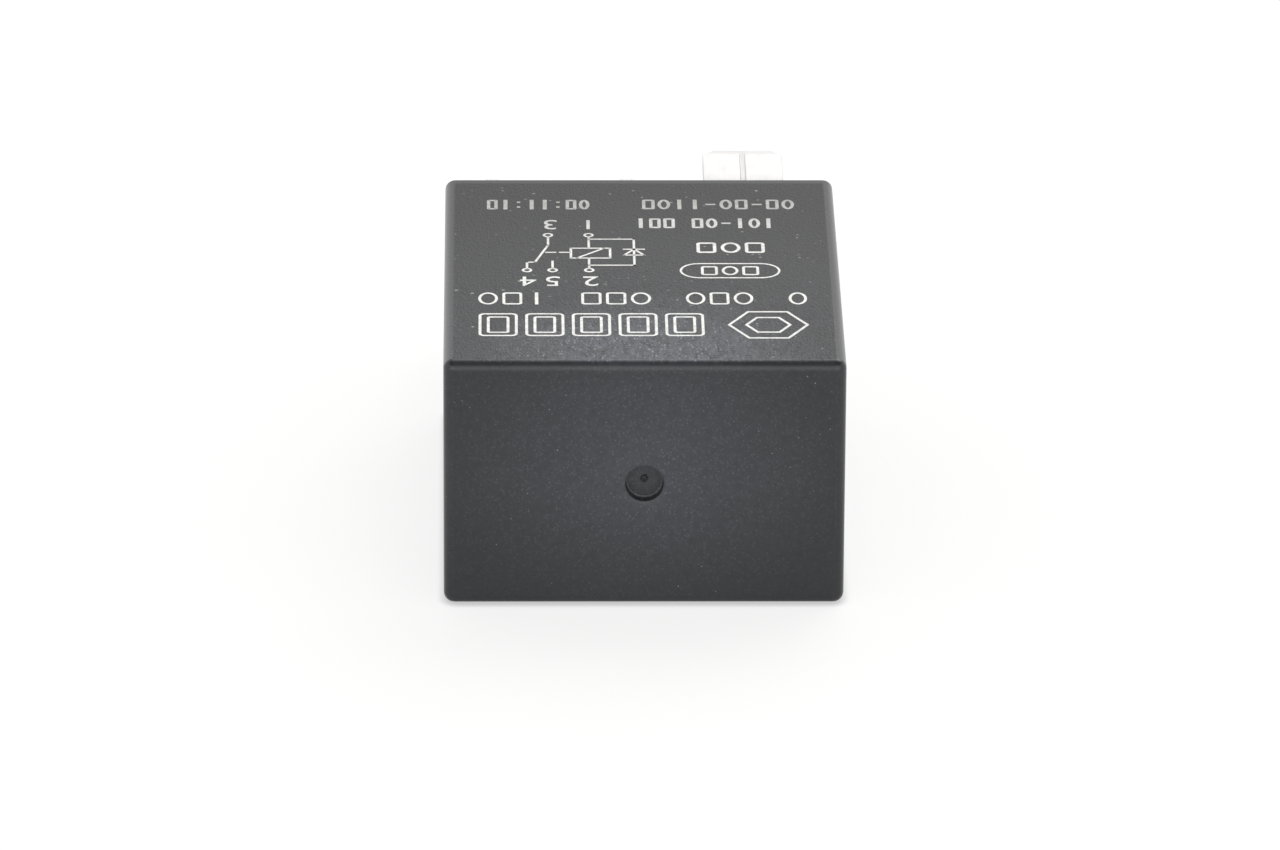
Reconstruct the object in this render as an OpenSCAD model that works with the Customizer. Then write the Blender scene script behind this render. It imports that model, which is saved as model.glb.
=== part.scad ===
// Plug-in automotive changeover relay, micro size, lying on the back face of its cover.
// Row frame: X across the case, -Y the closed end, +Y the blades, +Z the label face, back face on Z = 0.
// Every piece is drawn standing on its seating plane (z = height above it, +y = label side, blades below
// z = 0) and laid() turns it into the row frame.

/* [Case] */
// Width of the cover
case_w = 23; // [22.4:0.1:26]
// Thickness of the cover, from the back face to the label face
case_t = 15.15; // [15:0.05:18]
// Length of the cover, from the closed end to the rim
case_l = 28; // [26:0.5:34]
// Thickness of the cover's side walls
wall_t = 0.85; // [0.7:0.05:1]
// Thickness of the cover's closed end
end_t = 0.95; // [0.8:0.05:1.4]
// Radius of the cover's outer edges
edge_r = 0.6; // [0.3:0.05:0.8]
// Radius of the cover's inner corners
inner_r = 0.3; // [0.1:0.05:0.5]
// Size of the lead-in chamfer inside the rim
lead_in = 0.2; // [0.1:0.05:0.3]
// Width of the ribs that steady the yoke, inside the cover
rib_w = 0.7; // [0.5:0.1:1]
// Height above the seating plane at which the ribs end
rib_end = 10; // [8:0.5:16]

/* [Gate recess] */
// Diameter of the round recess in the closed end
gate_d = 2.35; // [1.6:0.05:4]
// Depth of the recess
gate_depth = 0.45; // [0.2:0.05:0.6]
// Width of the thicker ring inside the end, round the recess
gate_ring = 0.8; // [0.4:0.1:1.5]
// Diameter of the gate's stub
stub_d = 0.8; // [0.4:0.1:1.2]
// Height of the stub above the recess's floor
stub_h = 0.2; // [0.1:0.05:0.3]

/* [Snap windows] */
// Width of the window in each narrow side
window_w = 5.6; // [3:0.2:8]
// Length of each window, along the case
window_l = 1.6; // [1.2:0.1:2.4]
// Distance from the rim to each window
window_rim = 1.2; // [0.8:0.1:2]
// Clearance round each latch nose
latch_gap = 0.15; // [0.05:0.05:0.3]
// Thickness of the tongues that carry the noses
tongue_t = 0.5; // [0.4:0.05:0.55]
// How far each tongue reaches past its window
tongue_past = 0.5; // [0.3:0.1:1]
// Length of the flat that catches behind each window's edge
nose_land = 0.3; // [0.2:0.05:0.5]

/* [Base] */
// Thickness of the base plate
base_t = 3; // [2.4:0.1:4]
// How far the base stands out of the rim
base_proud = 0.3; // [0:0.05:0.6]
// Clearance between the base and the cover
base_fit = 0.08; // [0.03:0.01:0.15]
// Clearance round each blade in its slot
slot_fit = 0.03; // [0.02:0.01:0.08]
// Depth of the sealing well round each blade
well_depth = 0.5; // [0.2:0.1:0.9]
// Width of the well on each side of the blade
well_w = 0.5; // [0.3:0.05:0.7]
// Height of the barrier between the two contact blades
barrier_h = 4; // [2:0.2:6]
// Thickness of the barrier
barrier_t = 1; // [0.6:0.1:1.4]
// Height of the corner posts
corner_h = 3.5; // [2:0.5:8]
// Width of the corner posts
corner_w = 0.9; // [0.6:0.1:0.9]
// Diameter of the vent
vent_d = 1.2; // [0.8:0.1:1.4]
// Distance of the vent from the base's long edge
vent_in = 2; // [1.4:0.1:2.4]
// Width of the cored-out pocket beyond each coil blade
core_out_w = 0.6; // [0.4:0.1:0.8]
// Distance of the pockets from the base's long edge
core_out_in = 0.5; // [0.4:0.1:0.8]
// Thickness left above the pockets
core_out_t = 1; // [0.8:0.1:1.4]

/* [Blades] */
// Thickness of the blades
blade_t = 0.8; // [0.6:0.05:0.9]
// Width of the coil blades and the normally closed blade
blade_w = 4.8; // [4:0.1:5]
// Width of the common blade and the normally open blade
wide_w = 6.3; // [5.4:0.1:6.8]
// Length of the blades below the base
blade_l = 12.2; // [9:0.2:14]
// Length of the tapered tip
tip_l = 1.3; // [0.8:0.1:2]
// Width taken off each side of the tip
tip_in = 0.65; // [0.4:0.05:1.2]
// Width taken off each side of the coil blades' necks, inside the case
neck_in = 1.1; // [0.9:0.05:1.4]
// Thickness left at the tip's edge
tip_t = 0.35; // [0.2:0.05:0.5]
// Width of the seam along each blade
seam_w = 0.3; // [0.1:0.05:0.6]
// Depth of the seam
seam_depth = 0.12; // [0.05:0.01:0.2]
// Distance of the coil blades from the case's middle
coil_blade_x = 6.4; // [6:0.1:6.6]
// Distance between the coil blades
coil_blade_gap = 8.6; // [7.8:0.1:9]
// Distance of the common blade from the case's middle
common_x = 0.6; // [0.4:0.05:0.8]
// Distance from blade to blade in the contact row
row_pitch = 4.05; // [3.9:0.05:4.2]
// Height of the coil blades' arms, inside the case
arm_h = 1.2; // [0.8:0.05:1.2]
// Gap between the arms and the base
arm_gap = 0.15; // [0.05:0.05:0.2]
// Height of the broad part of blades 4 and 5, inside the case
shoulder_h = 3; // [2:0.2:4]
// Width of the tenon that is staked in the yoke's foot
tenon_w = 2.6; // [2:0.1:3.2]

/* [Magnet] */
// Thickness of the yoke
yoke_t = 1.4; // [1.2:0.1:1.6]
// Width of the yoke's upright
yoke_w = 11; // [10:0.2:12]
// Inner radius of the yoke's bend
yoke_r = 0.5; // [0.3:0.1:0.6]
// How far the yoke's foot reaches past the common blade
foot_past = 0.6; // [0.5:0.1:1]
// Gap between the foot and the coil blades' arms
foot_gap = 0.5; // [0.3:0.05:0.7]
// Diameter of the core
core_d = 4.2; // [3.6:0.1:4.8]
// Diameter of the pole head
pole_d = 7.4; // [6:0.1:8]
// Thickness of the pole head
pole_t = 1; // [0.8:0.1:1.4]
// Diameter of the core's riveted end
rivet_d = 3; // [2.4:0.1:3.2]
// Diameter of the core's rivet head
rivet_head_d = 4; // [3.6:0.1:4.4]
// Height of the core's rivet head
rivet_h = 0.25; // [0.15:0.05:0.35]
// Thickness of the bobbin's flanges
flange_t = 0.9; // [0.7:0.1:1.2]
// Wall of the bobbin's tube
tube_t = 0.6; // [0.4:0.1:0.8]
// Gap between the bobbin's flanges and the cover's wide walls
flange_gap = 0.5; // [0.3:0.05:0.8]
// How far the winding lies inside the flanges
winding_inset = 0.45; // [0.3:0.05:0.8]
// Distance from turn to turn on the winding's outside
turn_pitch = 0.36; // [0.3:0.02:0.6]

/* [Armature] */
// Thickness of the armature
arm_t = 1.3; // [1:0.1:1.5]
// Width of the armature
arm_w = 9.6; // [9:0.2:10.4]
// Width of the armature's free end
arm_end_w = 6; // [4.8:0.2:8]
// How far the armature reaches past the pole
arm_past = 1.2; // [0.6:0.1:1.6]
// Length of the armature's tapered end
arm_taper = 3.4; // [2:0.2:4]
// Gap left at the pole when the armature is pulled in
air_gap = 0.03; // [0.02:0.01:0.06]

/* [Contacts] */
// Gap between the open contacts
contact_gap = 0.75; // [0.5:0.05:0.9]
// Diameter of the contact buttons
button_d = 2.4; // [2:0.1:2.8]
// Height of the moving contact's buttons
button_h = 0.65; // [0.5:0.05:0.8]
// Height of the fixed contacts' buttons
fixed_h = 0.6; // [0.4:0.05:0.8]
// Radius of the moving contact's domes
dome_r = 8; // [6:0.5:14]
// Diameter of the contact rivets' shanks
shank_d = 1.3; // [1:0.1:1.6]
// Running gap at a closed contact
touch_gap = 0.02; // [0.01:0.005:0.03]
// Gap between the upper tab and the cover's end
roof_gap = 0.7; // [0.5:0.05:1.2]
// Inner bend radius of the contact tabs
tab_r = 0.3; // [0.2:0.05:0.5]
// How far each tab reaches past its contact
tab_past = 1.6; // [1.45:0.05:1.9]
// Gap between the spring's arm and the riser beside it
riser_gap = 1.9; // [1.4:0.1:2.2]
// Width of the normally open blade's riser
riser_w = 4; // [3.4:0.1:4.6]
// Height of the fixed contacts' rivet heads
upset_h = 0.2; // [0.1:0.05:0.3]
// Rim of the rivet heads round their shanks
upset_rim = 0.35; // [0.2:0.05:0.45]

/* [Contact spring] */
// Thickness of the leaf
spring_t = 0.25; // [0.15:0.05:0.3]
// Width of the leaf on the yoke and at the hinge
spring_w = 8.4; // [7.6:0.2:9]
// Width of the leaf's arm at the contact
spring_arm_w = 4; // [3.4:0.1:4.4]
// Width of the window over the hinge
hinge_window = 3.8; // [2.5:0.1:4.4]
// Inner radius of the leaf's bend
hinge_r = 0.9; // [0.7:0.05:1]
// Length of the leaf on the yoke's back
spring_back = 9; // [7:0.5:11]
// Diameter of the stakes that hold the leaf
stake_d = 1.5; // [1.1:0.1:1.6]
// Diameter of the stakes' heads
stake_head_d = 2.2; // [1.8:0.1:2.4]
// Height of the stakes' heads
stake_h = 0.3; // [0.15:0.05:0.35]
// Distance of each stake from the middle line
stake_y = 2.6; // [2.2:0.1:2.8]
// Distance of the armature's stakes from the hinge
stake_in = 5.6; // [5:0.1:6.4]
// Distance of the yoke's stakes from the leaf's end
stake_up = 3; // [1.8:0.1:3.4]
// Distance from the stakes to the end of the leaf's broad part
leaf_shoulder = 1.4; // [1.3:0.1:1.8]
// Length of the leaf's tapered part
leaf_taper = 4.6; // [3:0.2:5]

/* [Diode and posts] */
// Diameter of the diode's body
diode_d = 1.8; // [1.4:0.1:2]
// Length of the diode's body
diode_l = 3.6; // [3:0.2:4.4]
// Diameter of the diode's leads
lead_d = 0.5; // [0.3:0.05:0.6]
// Width of the coil posts
post_w = 0.8; // [0.6:0.05:0.9]
// Height of the coil posts above the lower flange
post_h = 4.2; // [3.9:0.1:6]
// Diameter of the winding's wire ends
wire_d = 0.2; // [0.12:0.02:0.24]
// Turns of wire on each post
wraps = 3; // [2:1:4]
// Distance of the turns from the post's top
wrap_down = 0.5; // [0.3:0.1:0.8]
// Height of the diode above the lower flange
diode_up = 1.6; // [1.2:0.1:1.8]

/* [Fits] */
// Seating gap between stacked pieces
seat_gap = 0.05; // [0.03:0.01:0.1]
// Clearance round rivets, tenons and the core
pin_fit = 0.02; // [0.01:0.005:0.03]
// Gap between neighbours side by side
part_gap = 0.3; // [0.2:0.05:0.35]
// Gap between the stake heads on the yoke and the cover
back_gap = 0.2; // [0.1:0.05:0.3]

/* [Hidden] */
$fn = 96;
eps = 0.01;

// Heights and half widths of the case, from the seating plane
rim_z = base_proud;
top_z = rim_z + case_l;
roof_z = top_z - end_t;
in_x = case_w / 2 - wall_t;
in_y = case_t / 2 - wall_t;
seat_y = case_l / 2 + base_proud;
window_z = rim_z + window_rim;

// Contact row, from the common blade to the normally open blade
com_x = -common_x;
nc_x = com_x - row_pitch;
no_x = nc_x - row_pitch;
contact_x = (nc_x + no_x) / 2;

// Yoke: the leaf and the stake heads fit between its back and the cover
yoke_x = in_x - back_gap - stake_h - spring_t;
yoke_in = yoke_x - yoke_t;
foot_z = base_t + 2 * seat_gap;
foot_top = foot_z + yoke_t;
foot_end = com_x - blade_t / 2 - foot_past;
foot_w = coil_blade_gap - blade_t - 2 * foot_gap;

// Posts, bobbin and winding fill the room between the contact row and the yoke
post_x = nc_x + blade_t / 2 + part_gap / 2 + diode_d / 2;
flange_x0 = post_x + max(post_w / 2, diode_d / 2 - winding_inset) + part_gap;
flange_x1 = yoke_in - 2 * seat_gap;
flange_l = flange_x1 - flange_x0;
flange_w = 2 * (in_y - flange_gap);
coil_x = (flange_x0 + flange_x1) / 2;
winding_r = min(flange_l, flange_w) / 2 - winding_inset;
flange_z = foot_top + seat_gap;
post_y = coil_blade_gap / 2;
post_top = flange_z + flange_t + post_h;
diode_z = flange_z + flange_t + diode_up;
wrap_z = post_top - wrap_down;

// Swing of the armature about the yoke's top corner, and the contact stack above it
swing_r = yoke_x - contact_x;
release_a = asin(contact_gap / swing_r);
arm_top = air_gap + arm_t;
apex_top = arm_top + spring_t + pin_fit + button_h;
nc_tab_top = roof_z - roof_gap;
nc_face = nc_tab_top - blade_t - fixed_h;
pole_z = nc_face - touch_gap - (apex_top - dome_r) * cos(release_a) - swing_r * sin(release_a) - dome_r;
no_face = pole_z + arm_top - pin_fit - button_h - touch_gap;
no_tab_top = no_face - fixed_h;
bobbin_top = pole_z - pole_t - seat_gap;

// Centre of the leaf's bend: it touches the yoke's back and the top of the released armature
bend_x = -hinge_r;
bend_z = (arm_top - hinge_r + hinge_r * sin(release_a)) / cos(release_a);
bend_end = bend_x * cos(release_a) - bend_z * sin(release_a);

// Riser of the normally closed contact, beside the spring
riser_y1 = in_y - part_gap;
riser_y0 = spring_arm_w / 2 + riser_gap;
shoulder_z = base_t + 2 * seat_gap;
riser_z = shoulder_z + shoulder_h;

black = [0.11, 0.11, 0.12];
dark_grey = [0.2, 0.2, 0.21];
tin = [0.72, 0.72, 0.7];
iron = [0.55, 0.56, 0.58];
copper = [0.72, 0.38, 0.2];
bronze = [0.8, 0.62, 0.36];
silver = [0.85, 0.85, 0.84];
nylon = [0.85, 0.83, 0.76];

// ---- frames ----

// Lays a standing piece on its back, into the row frame
module laid() {
    translate([0, seat_y, case_t / 2]) rotate([90, 0, 0]) children();
}

// Moves a piece drawn about the hinge, with the armature pulled in, to where it is released
module released() {
    translate([yoke_x, 0, pole_z]) rotate([0, release_a, 0]) children();
}

// ---- shared shapes ----

module block(a, b) {
    translate([min(a.x, b.x), min(a.y, b.y), min(a.z, b.z)])
        cube([abs(a.x - b.x), abs(a.y - b.y), abs(a.z - b.z)]);
}

module span(a, b) {
    translate([min(a.x, b.x), min(a.y, b.y)]) square([abs(a.x - b.x), abs(a.y - b.y)]);
}

module round_rect(w, h, r) {
    square([w - 2 * r, h], center = true);
    square([w, h - 2 * r], center = true);
    for (sx = [-1, 1], sy = [-1, 1])
        translate([sx * (w / 2 - r), sy * (h / 2 - r)]) circle(r);
}

// Outline drawn in x and z, given a thickness along y
module along_y(w, y = 0) {
    translate([0, y, 0]) rotate([90, 0, 0]) linear_extrude(w, center = true) children();
}

// Outline drawn in y and z, given a thickness along x
module along_x(w, x = 0) {
    translate([x, 0, 0]) rotate([90, 0, 90]) linear_extrude(w, center = true) children();
}

// Strip seen edge-on: from height z_far to a bend with its outer face at z_face, then out to x_end
module bent_strip(x_mid, z_far, z_face, x_end, t, r) {
    sx = sign(x_end - x_mid);
    sz = sign(z_face - z_far);
    cx = x_mid + sx * (t / 2 + r);
    cz = z_face - sz * (t + r);
    span([x_mid - t / 2, z_far], [x_mid + t / 2, cz]);
    span([cx, z_face], [x_end, z_face - sz * t]);
    intersection() {
        translate([cx, cz]) difference() {
            circle(r + t);
            circle(r);
        }
        span([cx, cz], [cx - sx * (r + t), cz + sz * (r + t)]);
    }
}

// ---- cover ----

module cap_side(w) {
    span([-w / 2, rim_z], [w / 2, top_z - edge_r]);
    span([edge_r - w / 2, rim_z], [w / 2 - edge_r, top_z]);
    for (s = [-1, 1]) translate([s * (w / 2 - edge_r), top_z - edge_r]) circle(edge_r);
}

module cap_solid() {
    intersection() {
        translate([0, 0, rim_z]) linear_extrude(case_l) round_rect(case_w, case_t, edge_r);
        along_y(case_t + 2) cap_side(case_w);
        along_x(case_w + 2) cap_side(case_t);
    }
}

// Hollow of the cover, less the pad behind the gate and the two ribs beside the yoke
module cap_hollow() {
    rib_x = yoke_x - yoke_t / 2;
    difference() {
        translate([0, 0, rim_z - 1]) linear_extrude(roof_z - rim_z + 1)
            round_rect(2 * in_x, 2 * in_y, inner_r);
        translate([0, 0, roof_z - gate_depth])
            cylinder(d = gate_d + 2 * gate_ring, h = gate_depth + 1);
        for (s = [-1, 1])
            block([rib_x - rib_w / 2, s * (yoke_w / 2 + part_gap), rib_end],
                [rib_x + rib_w / 2, s * (in_y + 1), top_z]);
    }
}

module lead_in_side(half_w) {
    polygon([
        [-half_w - 2 * lead_in, rim_z - lead_in], [half_w + 2 * lead_in, rim_z - lead_in],
        [half_w, rim_z + lead_in], [-half_w, rim_z + lead_in]
    ]);
}

module cover() {
    color(black) laid() {
        difference() {
            cap_solid();
            cap_hollow();
            intersection() {
                along_y(case_t) lead_in_side(in_x);
                along_x(case_w) lead_in_side(in_y);
            }
            translate([0, 0, top_z - gate_depth]) cylinder(d = gate_d, h = gate_depth + 1);
            for (s = [-1, 1])
                block([s * (in_x - 1), -window_w / 2, window_z],
                    [s * (in_x + 2), window_w / 2, window_z + window_l]);
        }
        translate([0, 0, top_z - gate_depth]) cylinder(d = stub_d, h = stub_h);
    }
}

// ---- base ----

module blade_slot(x, y, lx, ly) {
    fit = slot_fit;
    block([x - lx / 2 - fit, y - ly / 2 - fit, -1],
        [x + lx / 2 + fit, y + ly / 2 + fit, base_t + 1]);
    block([x - lx / 2 - well_w, y - ly / 2 - well_w, -1],
        [x + lx / 2 + well_w, y + ly / 2 + well_w, well_depth]);
}

module latch(s) {
    out_x = in_x - base_fit;
    nose_w = window_w - 2 * latch_gap;
    z0 = window_z + latch_gap;
    z1 = window_z + window_l - latch_gap;
    nose_x = in_x + wall_t - latch_gap;
    block([s * (out_x - tongue_t), -nose_w / 2, window_z],
        [s * out_x, nose_w / 2, window_z + window_l + tongue_past]);
    along_y(nose_w) polygon([
        [s * (out_x - tongue_t), z0], [s * nose_x, z0], [s * nose_x, z0 + nose_land], [s * out_x, z1],
        [s * (out_x - tongue_t), z1]
    ]);
}

module base() {
    half_x = in_x - base_fit;
    half_y = in_y - base_fit;
    color(dark_grey) laid() difference() {
        union() {
            linear_extrude(base_t) round_rect(2 * half_x, 2 * half_y, inner_r);
            latch(-1);
            latch(1);
            block([contact_x - barrier_t / 2, -half_y + 1, base_t - eps],
                [contact_x + barrier_t / 2, half_y - 1, base_t + barrier_h]);
            intersection() {
                linear_extrude(base_t + corner_h) round_rect(2 * half_x, 2 * half_y, inner_r);
                for (sx = [-1, 1], sy = [-1, 1])
                    block([sx * (half_x + 1), sy * (half_y + 1), base_t - eps],
                        [sx * (half_x - corner_w), sy * (half_y - corner_w), base_t + corner_h + 1]);
            }
        }
        for (sy = [-1, 1]) blade_slot(coil_blade_x, sy * coil_blade_gap / 2, blade_w, blade_t);
        blade_slot(com_x, 0, blade_t, wide_w);
        blade_slot(nc_x, 0, blade_t, blade_w);
        blade_slot(no_x, 0, blade_t, wide_w);
        translate([coil_x, 0, base_t - rivet_h - seat_gap])
            cylinder(d = rivet_head_d + 2 * part_gap, h = rivet_h + 1);
        translate([contact_x + row_pitch, vent_in - half_y, -1]) cylinder(d = vent_d, h = base_t + 2);
        for (sy = [-1, 1])
            block([coil_blade_x - blade_w / 2, sy * (half_y - core_out_in - core_out_w), -1],
                [coil_blade_x + blade_w / 2, sy * (half_y - core_out_in), base_t - core_out_t]);
    }
}

// ---- blades ----

module blade_outline(w, z1) {
    z0 = -blade_l;
    polygon([
        [-w / 2, z1], [-w / 2, z0 + tip_l], [tip_in - w / 2, z0],
        [w / 2 - tip_in, z0], [w / 2, z0 + tip_l], [w / 2, z1]
    ]);
}

module blade_edge(z1) {
    z0 = -blade_l;
    polygon([
        [-blade_t / 2, z1], [-blade_t / 2, z0 + tip_l], [-tip_t / 2, z0],
        [tip_t / 2, z0], [blade_t / 2, z0 + tip_l], [blade_t / 2, z1]
    ]);
}

// Blade with its broad faces on +-x and its seam on -x, up to height z1
module blade(w, z1) {
    difference() {
        intersection() {
            along_x(blade_t + 1) blade_outline(w, z1);
            along_y(w + 1) blade_edge(z1);
        }
        block([-blade_t / 2 - 1, -seam_w / 2, -blade_l - 1],
            [-blade_t / 2 + seam_depth, seam_w / 2, -seam_w]);
    }
}

// Coil blade: flat stamping with an arm below the bobbin and a post beside it
module coil_blade(s) {
    neck_w = blade_w - 2 * neck_in;
    arm_z0 = base_t + arm_gap;
    arm_z1 = arm_z0 + arm_h;
    color(tin) laid() {
        translate([coil_blade_x, s * post_y, 0]) rotate([0, 0, -90 * s]) blade(blade_w, base_t);
        along_y(blade_t, s * post_y) {
            span([coil_blade_x - neck_w / 2, base_t - eps], [coil_blade_x + neck_w / 2, arm_z1]);
            span([post_x - post_w / 2, arm_z0], [coil_blade_x + neck_w / 2, arm_z1]);
            span([post_x - post_w / 2, arm_z0], [post_x + post_w / 2, post_top]);
        }
    }
}

module terminal_1() {
    coil_blade(1);
}

module terminal_2() {
    coil_blade(-1);
}

// Common blade: its tenon is staked in the yoke's foot
module terminal_3() {
    color(tin) laid() translate([com_x, 0, 0]) {
        blade(wide_w, foot_z - pin_fit);
        along_x(blade_t) span([-tenon_w / 2, foot_z - 2 * pin_fit], [tenon_w / 2, foot_top]);
    }
}

// Normally closed blade: its riser passes beside the spring and is bent over it
module terminal_4() {
    color(tin) laid() difference() {
        union() {
            translate([nc_x, 0, 0]) blade(blade_w, riser_z);
            along_x(blade_t, nc_x) {
                span([0, shoulder_z], [riser_y1, riser_z]);
                span([riser_y0, shoulder_z], [riser_y1, nc_tab_top - blade_t - tab_r]);
            }
            along_y(riser_y1 - riser_y0, (riser_y0 + riser_y1) / 2)
                bent_strip(nc_x, riser_z, nc_tab_top, contact_x - tab_past, blade_t, tab_r);
            block([nc_x - blade_t / 2 - tab_r, riser_y0 + eps, nc_tab_top],
                [contact_x - tab_past, -tab_past, nc_tab_top - blade_t]);
        }
        translate([contact_x, 0, nc_tab_top - blade_t - 1])
            cylinder(d = shank_d + 2 * pin_fit, h = blade_t + 2);
    }
}

// Normally open blade: its riser is bent over below the spring
module terminal_5() {
    color(tin) laid() difference() {
        union() {
            translate([no_x, 0, 0]) blade(wide_w, riser_z);
            along_y(riser_w)
                bent_strip(no_x, riser_z - eps, no_tab_top, contact_x + tab_past, blade_t, tab_r);
        }
        translate([contact_x, 0, no_tab_top - blade_t - 1])
            cylinder(d = shank_d + 2 * pin_fit, h = blade_t + 2);
    }
}

// ---- coil and magnet ----

module bobbin() {
    bore_d = core_d + 2 * pin_fit;
    notch = 0.5;
    bend_room = yoke_r + 2 * seat_gap;
    corner_x = yoke_in - coil_x;
    color(nylon) laid() translate([coil_x, 0, 0]) difference() {
        union() {
            translate([0, 0, flange_z]) linear_extrude(flange_t) round_rect(flange_l, flange_w, 1);
            translate([0, 0, bobbin_top - flange_t]) linear_extrude(flange_t)
                round_rect(flange_l, flange_w, 1);
            translate([0, 0, flange_z]) cylinder(d = bore_d + 2 * tube_t, h = bobbin_top - flange_z);
        }
        translate([0, 0, flange_z - 1]) cylinder(d = bore_d, h = bobbin_top - flange_z + 2);
        for (s = [-1, 1])
            block([-flange_l / 2 - 1, s * post_y - notch / 2, flange_z - 1],
                [-flange_l / 2 + notch, s * post_y + notch / 2, flange_z + flange_t + 1]);
        along_y(flange_w + 2)
            polygon([
                [corner_x - bend_room, foot_top], [corner_x, foot_top], [corner_x, foot_top + bend_room]
            ]);
    }
}

module coil_winding() {
    r0 = core_d / 2 + pin_fit + tube_t + pin_fit;
    z0 = flange_z + flange_t + seat_gap;
    z1 = bobbin_top - flange_t - seat_gap;
    turns = floor((z1 - z0) / turn_pitch);
    pitch = (z1 - z0) / turns;
    ridge = pitch / 4;
    color(copper) laid() translate([coil_x, 0, 0]) rotate_extrude() polygon([
        [r0, z0], [winding_r - ridge, z0],
        for (i = [0:turns - 1]) each [
            [winding_r, z0 + (i + 0.3) * pitch], [winding_r, z0 + (i + 0.7) * pitch],
            [winding_r - ridge, z0 + (i + 1) * pitch]
        ],
        [r0, z1]
    ]);
}

// One end of the winding: turns on the post and a run back to the coil
module coil_lead(s) {
    run = norm([coil_x - post_x, post_y]);
    wrap_r = post_w * sqrt(2) / 2 + wire_d / 2 + pin_fit;
    turn = atan2(-s * post_y, coil_x - post_x);
    pitch = wire_d - eps;
    color(copper) laid() translate([post_x, s * post_y, wrap_z]) {
        for (i = [0:wraps - 1])
            translate([0, 0, -i * pitch]) rotate_extrude() translate([wrap_r, 0]) circle(d = wire_d);
        rotate([0, 0, turn]) translate([wrap_r, 0, 0]) rotate([0, 90, 0])
            cylinder(d = wire_d, h = run - wrap_r - winding_r - pin_fit);
    }
}

module coil_lead_1() {
    coil_lead(1);
}

module coil_lead_2() {
    coil_lead(-1);
}

module core() {
    color(iron) laid() translate([coil_x, 0, 0]) {
        translate([0, 0, foot_z - pin_fit - rivet_h]) cylinder(d = rivet_head_d, h = rivet_h);
        translate([0, 0, foot_z - pin_fit - eps]) cylinder(d = rivet_d, h = yoke_t + 3 * pin_fit);
        translate([0, 0, foot_top + pin_fit]) cylinder(d = core_d, h = pole_z - pole_t - foot_top);
        translate([0, 0, pole_z - pole_t]) cylinder(d = pole_d, h = pole_t);
    }
}

module yoke() {
    wide_x = yoke_in - yoke_r;
    stake_z = pole_z - spring_back + stake_up;
    color(iron) laid() {
        difference() {
            intersection() {
                along_y(yoke_w) bent_strip(yoke_x - yoke_t / 2, pole_z, foot_z, foot_end, yoke_t, yoke_r);
                union() {
                    block([wide_x, -yoke_w, foot_z - 1], [yoke_x + 1, yoke_w, pole_z + 1]);
                    block([foot_end - 1, -foot_w / 2, foot_z - 1], [wide_x + 1, foot_w / 2, foot_top + 1]);
                }
            }
            translate([coil_x, 0, foot_z - 1]) cylinder(d = rivet_d + 2 * pin_fit, h = yoke_t + 2);
            block([com_x - blade_t / 2 - pin_fit, -tenon_w / 2 - pin_fit, foot_z - 1],
                [com_x + blade_t / 2 + pin_fit, tenon_w / 2 + pin_fit, foot_top + 1]);
        }
        for (s = [-1, 1]) translate([yoke_x - eps, s * stake_y, stake_z]) rotate([0, 90, 0]) {
            cylinder(d = stake_d, h = spring_t + pin_fit + 2 * eps);
            translate([0, 0, spring_t + pin_fit + eps]) cylinder(d = stake_head_d, h = stake_h);
        }
    }
}

// ---- armature, spring and contacts, drawn from the hinge ----

module armature() {
    end_x = coil_x - pole_d / 2 - arm_past - yoke_x;
    rear_x = -0.1;
    chamfer = hinge_r + 0.05;
    color(iron) laid() released() {
        intersection() {
            linear_extrude(arm_top + 1) polygon([
                [rear_x, -arm_w / 2], [rear_x, arm_w / 2], [end_x + arm_taper, arm_w / 2],
                [end_x, arm_end_w / 2], [end_x, -arm_end_w / 2], [end_x + arm_taper, -arm_w / 2]
            ]);
            along_y(arm_w + 2) polygon([
                [end_x, air_gap], [rear_x, air_gap], [rear_x, arm_top - chamfer], [rear_x - chamfer, arm_top],
                [end_x, arm_top]
            ]);
        }
        for (s = [-1, 1]) translate([-stake_in, s * stake_y, arm_top - eps]) {
            cylinder(d = stake_d, h = spring_t + pin_fit + 2 * eps);
            translate([0, 0, spring_t + pin_fit + eps]) cylinder(d = stake_head_d, h = stake_h);
        }
    }
}

module spring_arm() {
    arm = spring_arm_w / 2;
    wide_x = -stake_in - leaf_shoulder;
    narrow_x = wide_x - leaf_taper;
    difference() {
        union() {
            polygon([
                [bend_end + eps, -spring_w / 2], [bend_end + eps, spring_w / 2], [wide_x, spring_w / 2],
                [narrow_x, arm], [-swing_r, arm], [-swing_r, -arm], [narrow_x, -arm],
                [wide_x, -spring_w / 2]
            ]);
            translate([-swing_r, 0]) circle(arm);
        }
        translate([-swing_r, 0]) circle(d = shank_d + 2 * pin_fit);
        for (s = [-1, 1]) translate([-stake_in, s * stake_y]) circle(d = stake_d + 2 * pin_fit);
        span([bend_end + 1, -hinge_window / 2], [bend_end - 1, hinge_window / 2]);
    }
}

module contact_spring() {
    color(bronze) laid() {
        released() translate([0, 0, arm_top]) linear_extrude(spring_t) spring_arm();
        translate([yoke_x, 0, pole_z]) difference() {
            along_y(spring_w) {
                span([0, -spring_back], [spring_t, bend_z]);
                intersection() {
                    translate([bend_x, bend_z]) difference() {
                        circle(hinge_r + spring_t);
                        circle(hinge_r);
                    }
                    translate([bend_x, bend_z]) polygon([
                        [0, 0], [3, 0], [3, 3], 3 * [sin(release_a), cos(release_a)]
                    ]);
                }
            }
            block([-2, -hinge_window / 2, -hinge_r - 1.3], [1, hinge_window / 2, 3]);
            for (s = [-1, 1]) translate([-1, s * stake_y, stake_up - spring_back]) rotate([0, 90, 0])
                cylinder(d = stake_d + 2 * pin_fit, h = 2);
        }
    }
}

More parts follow.
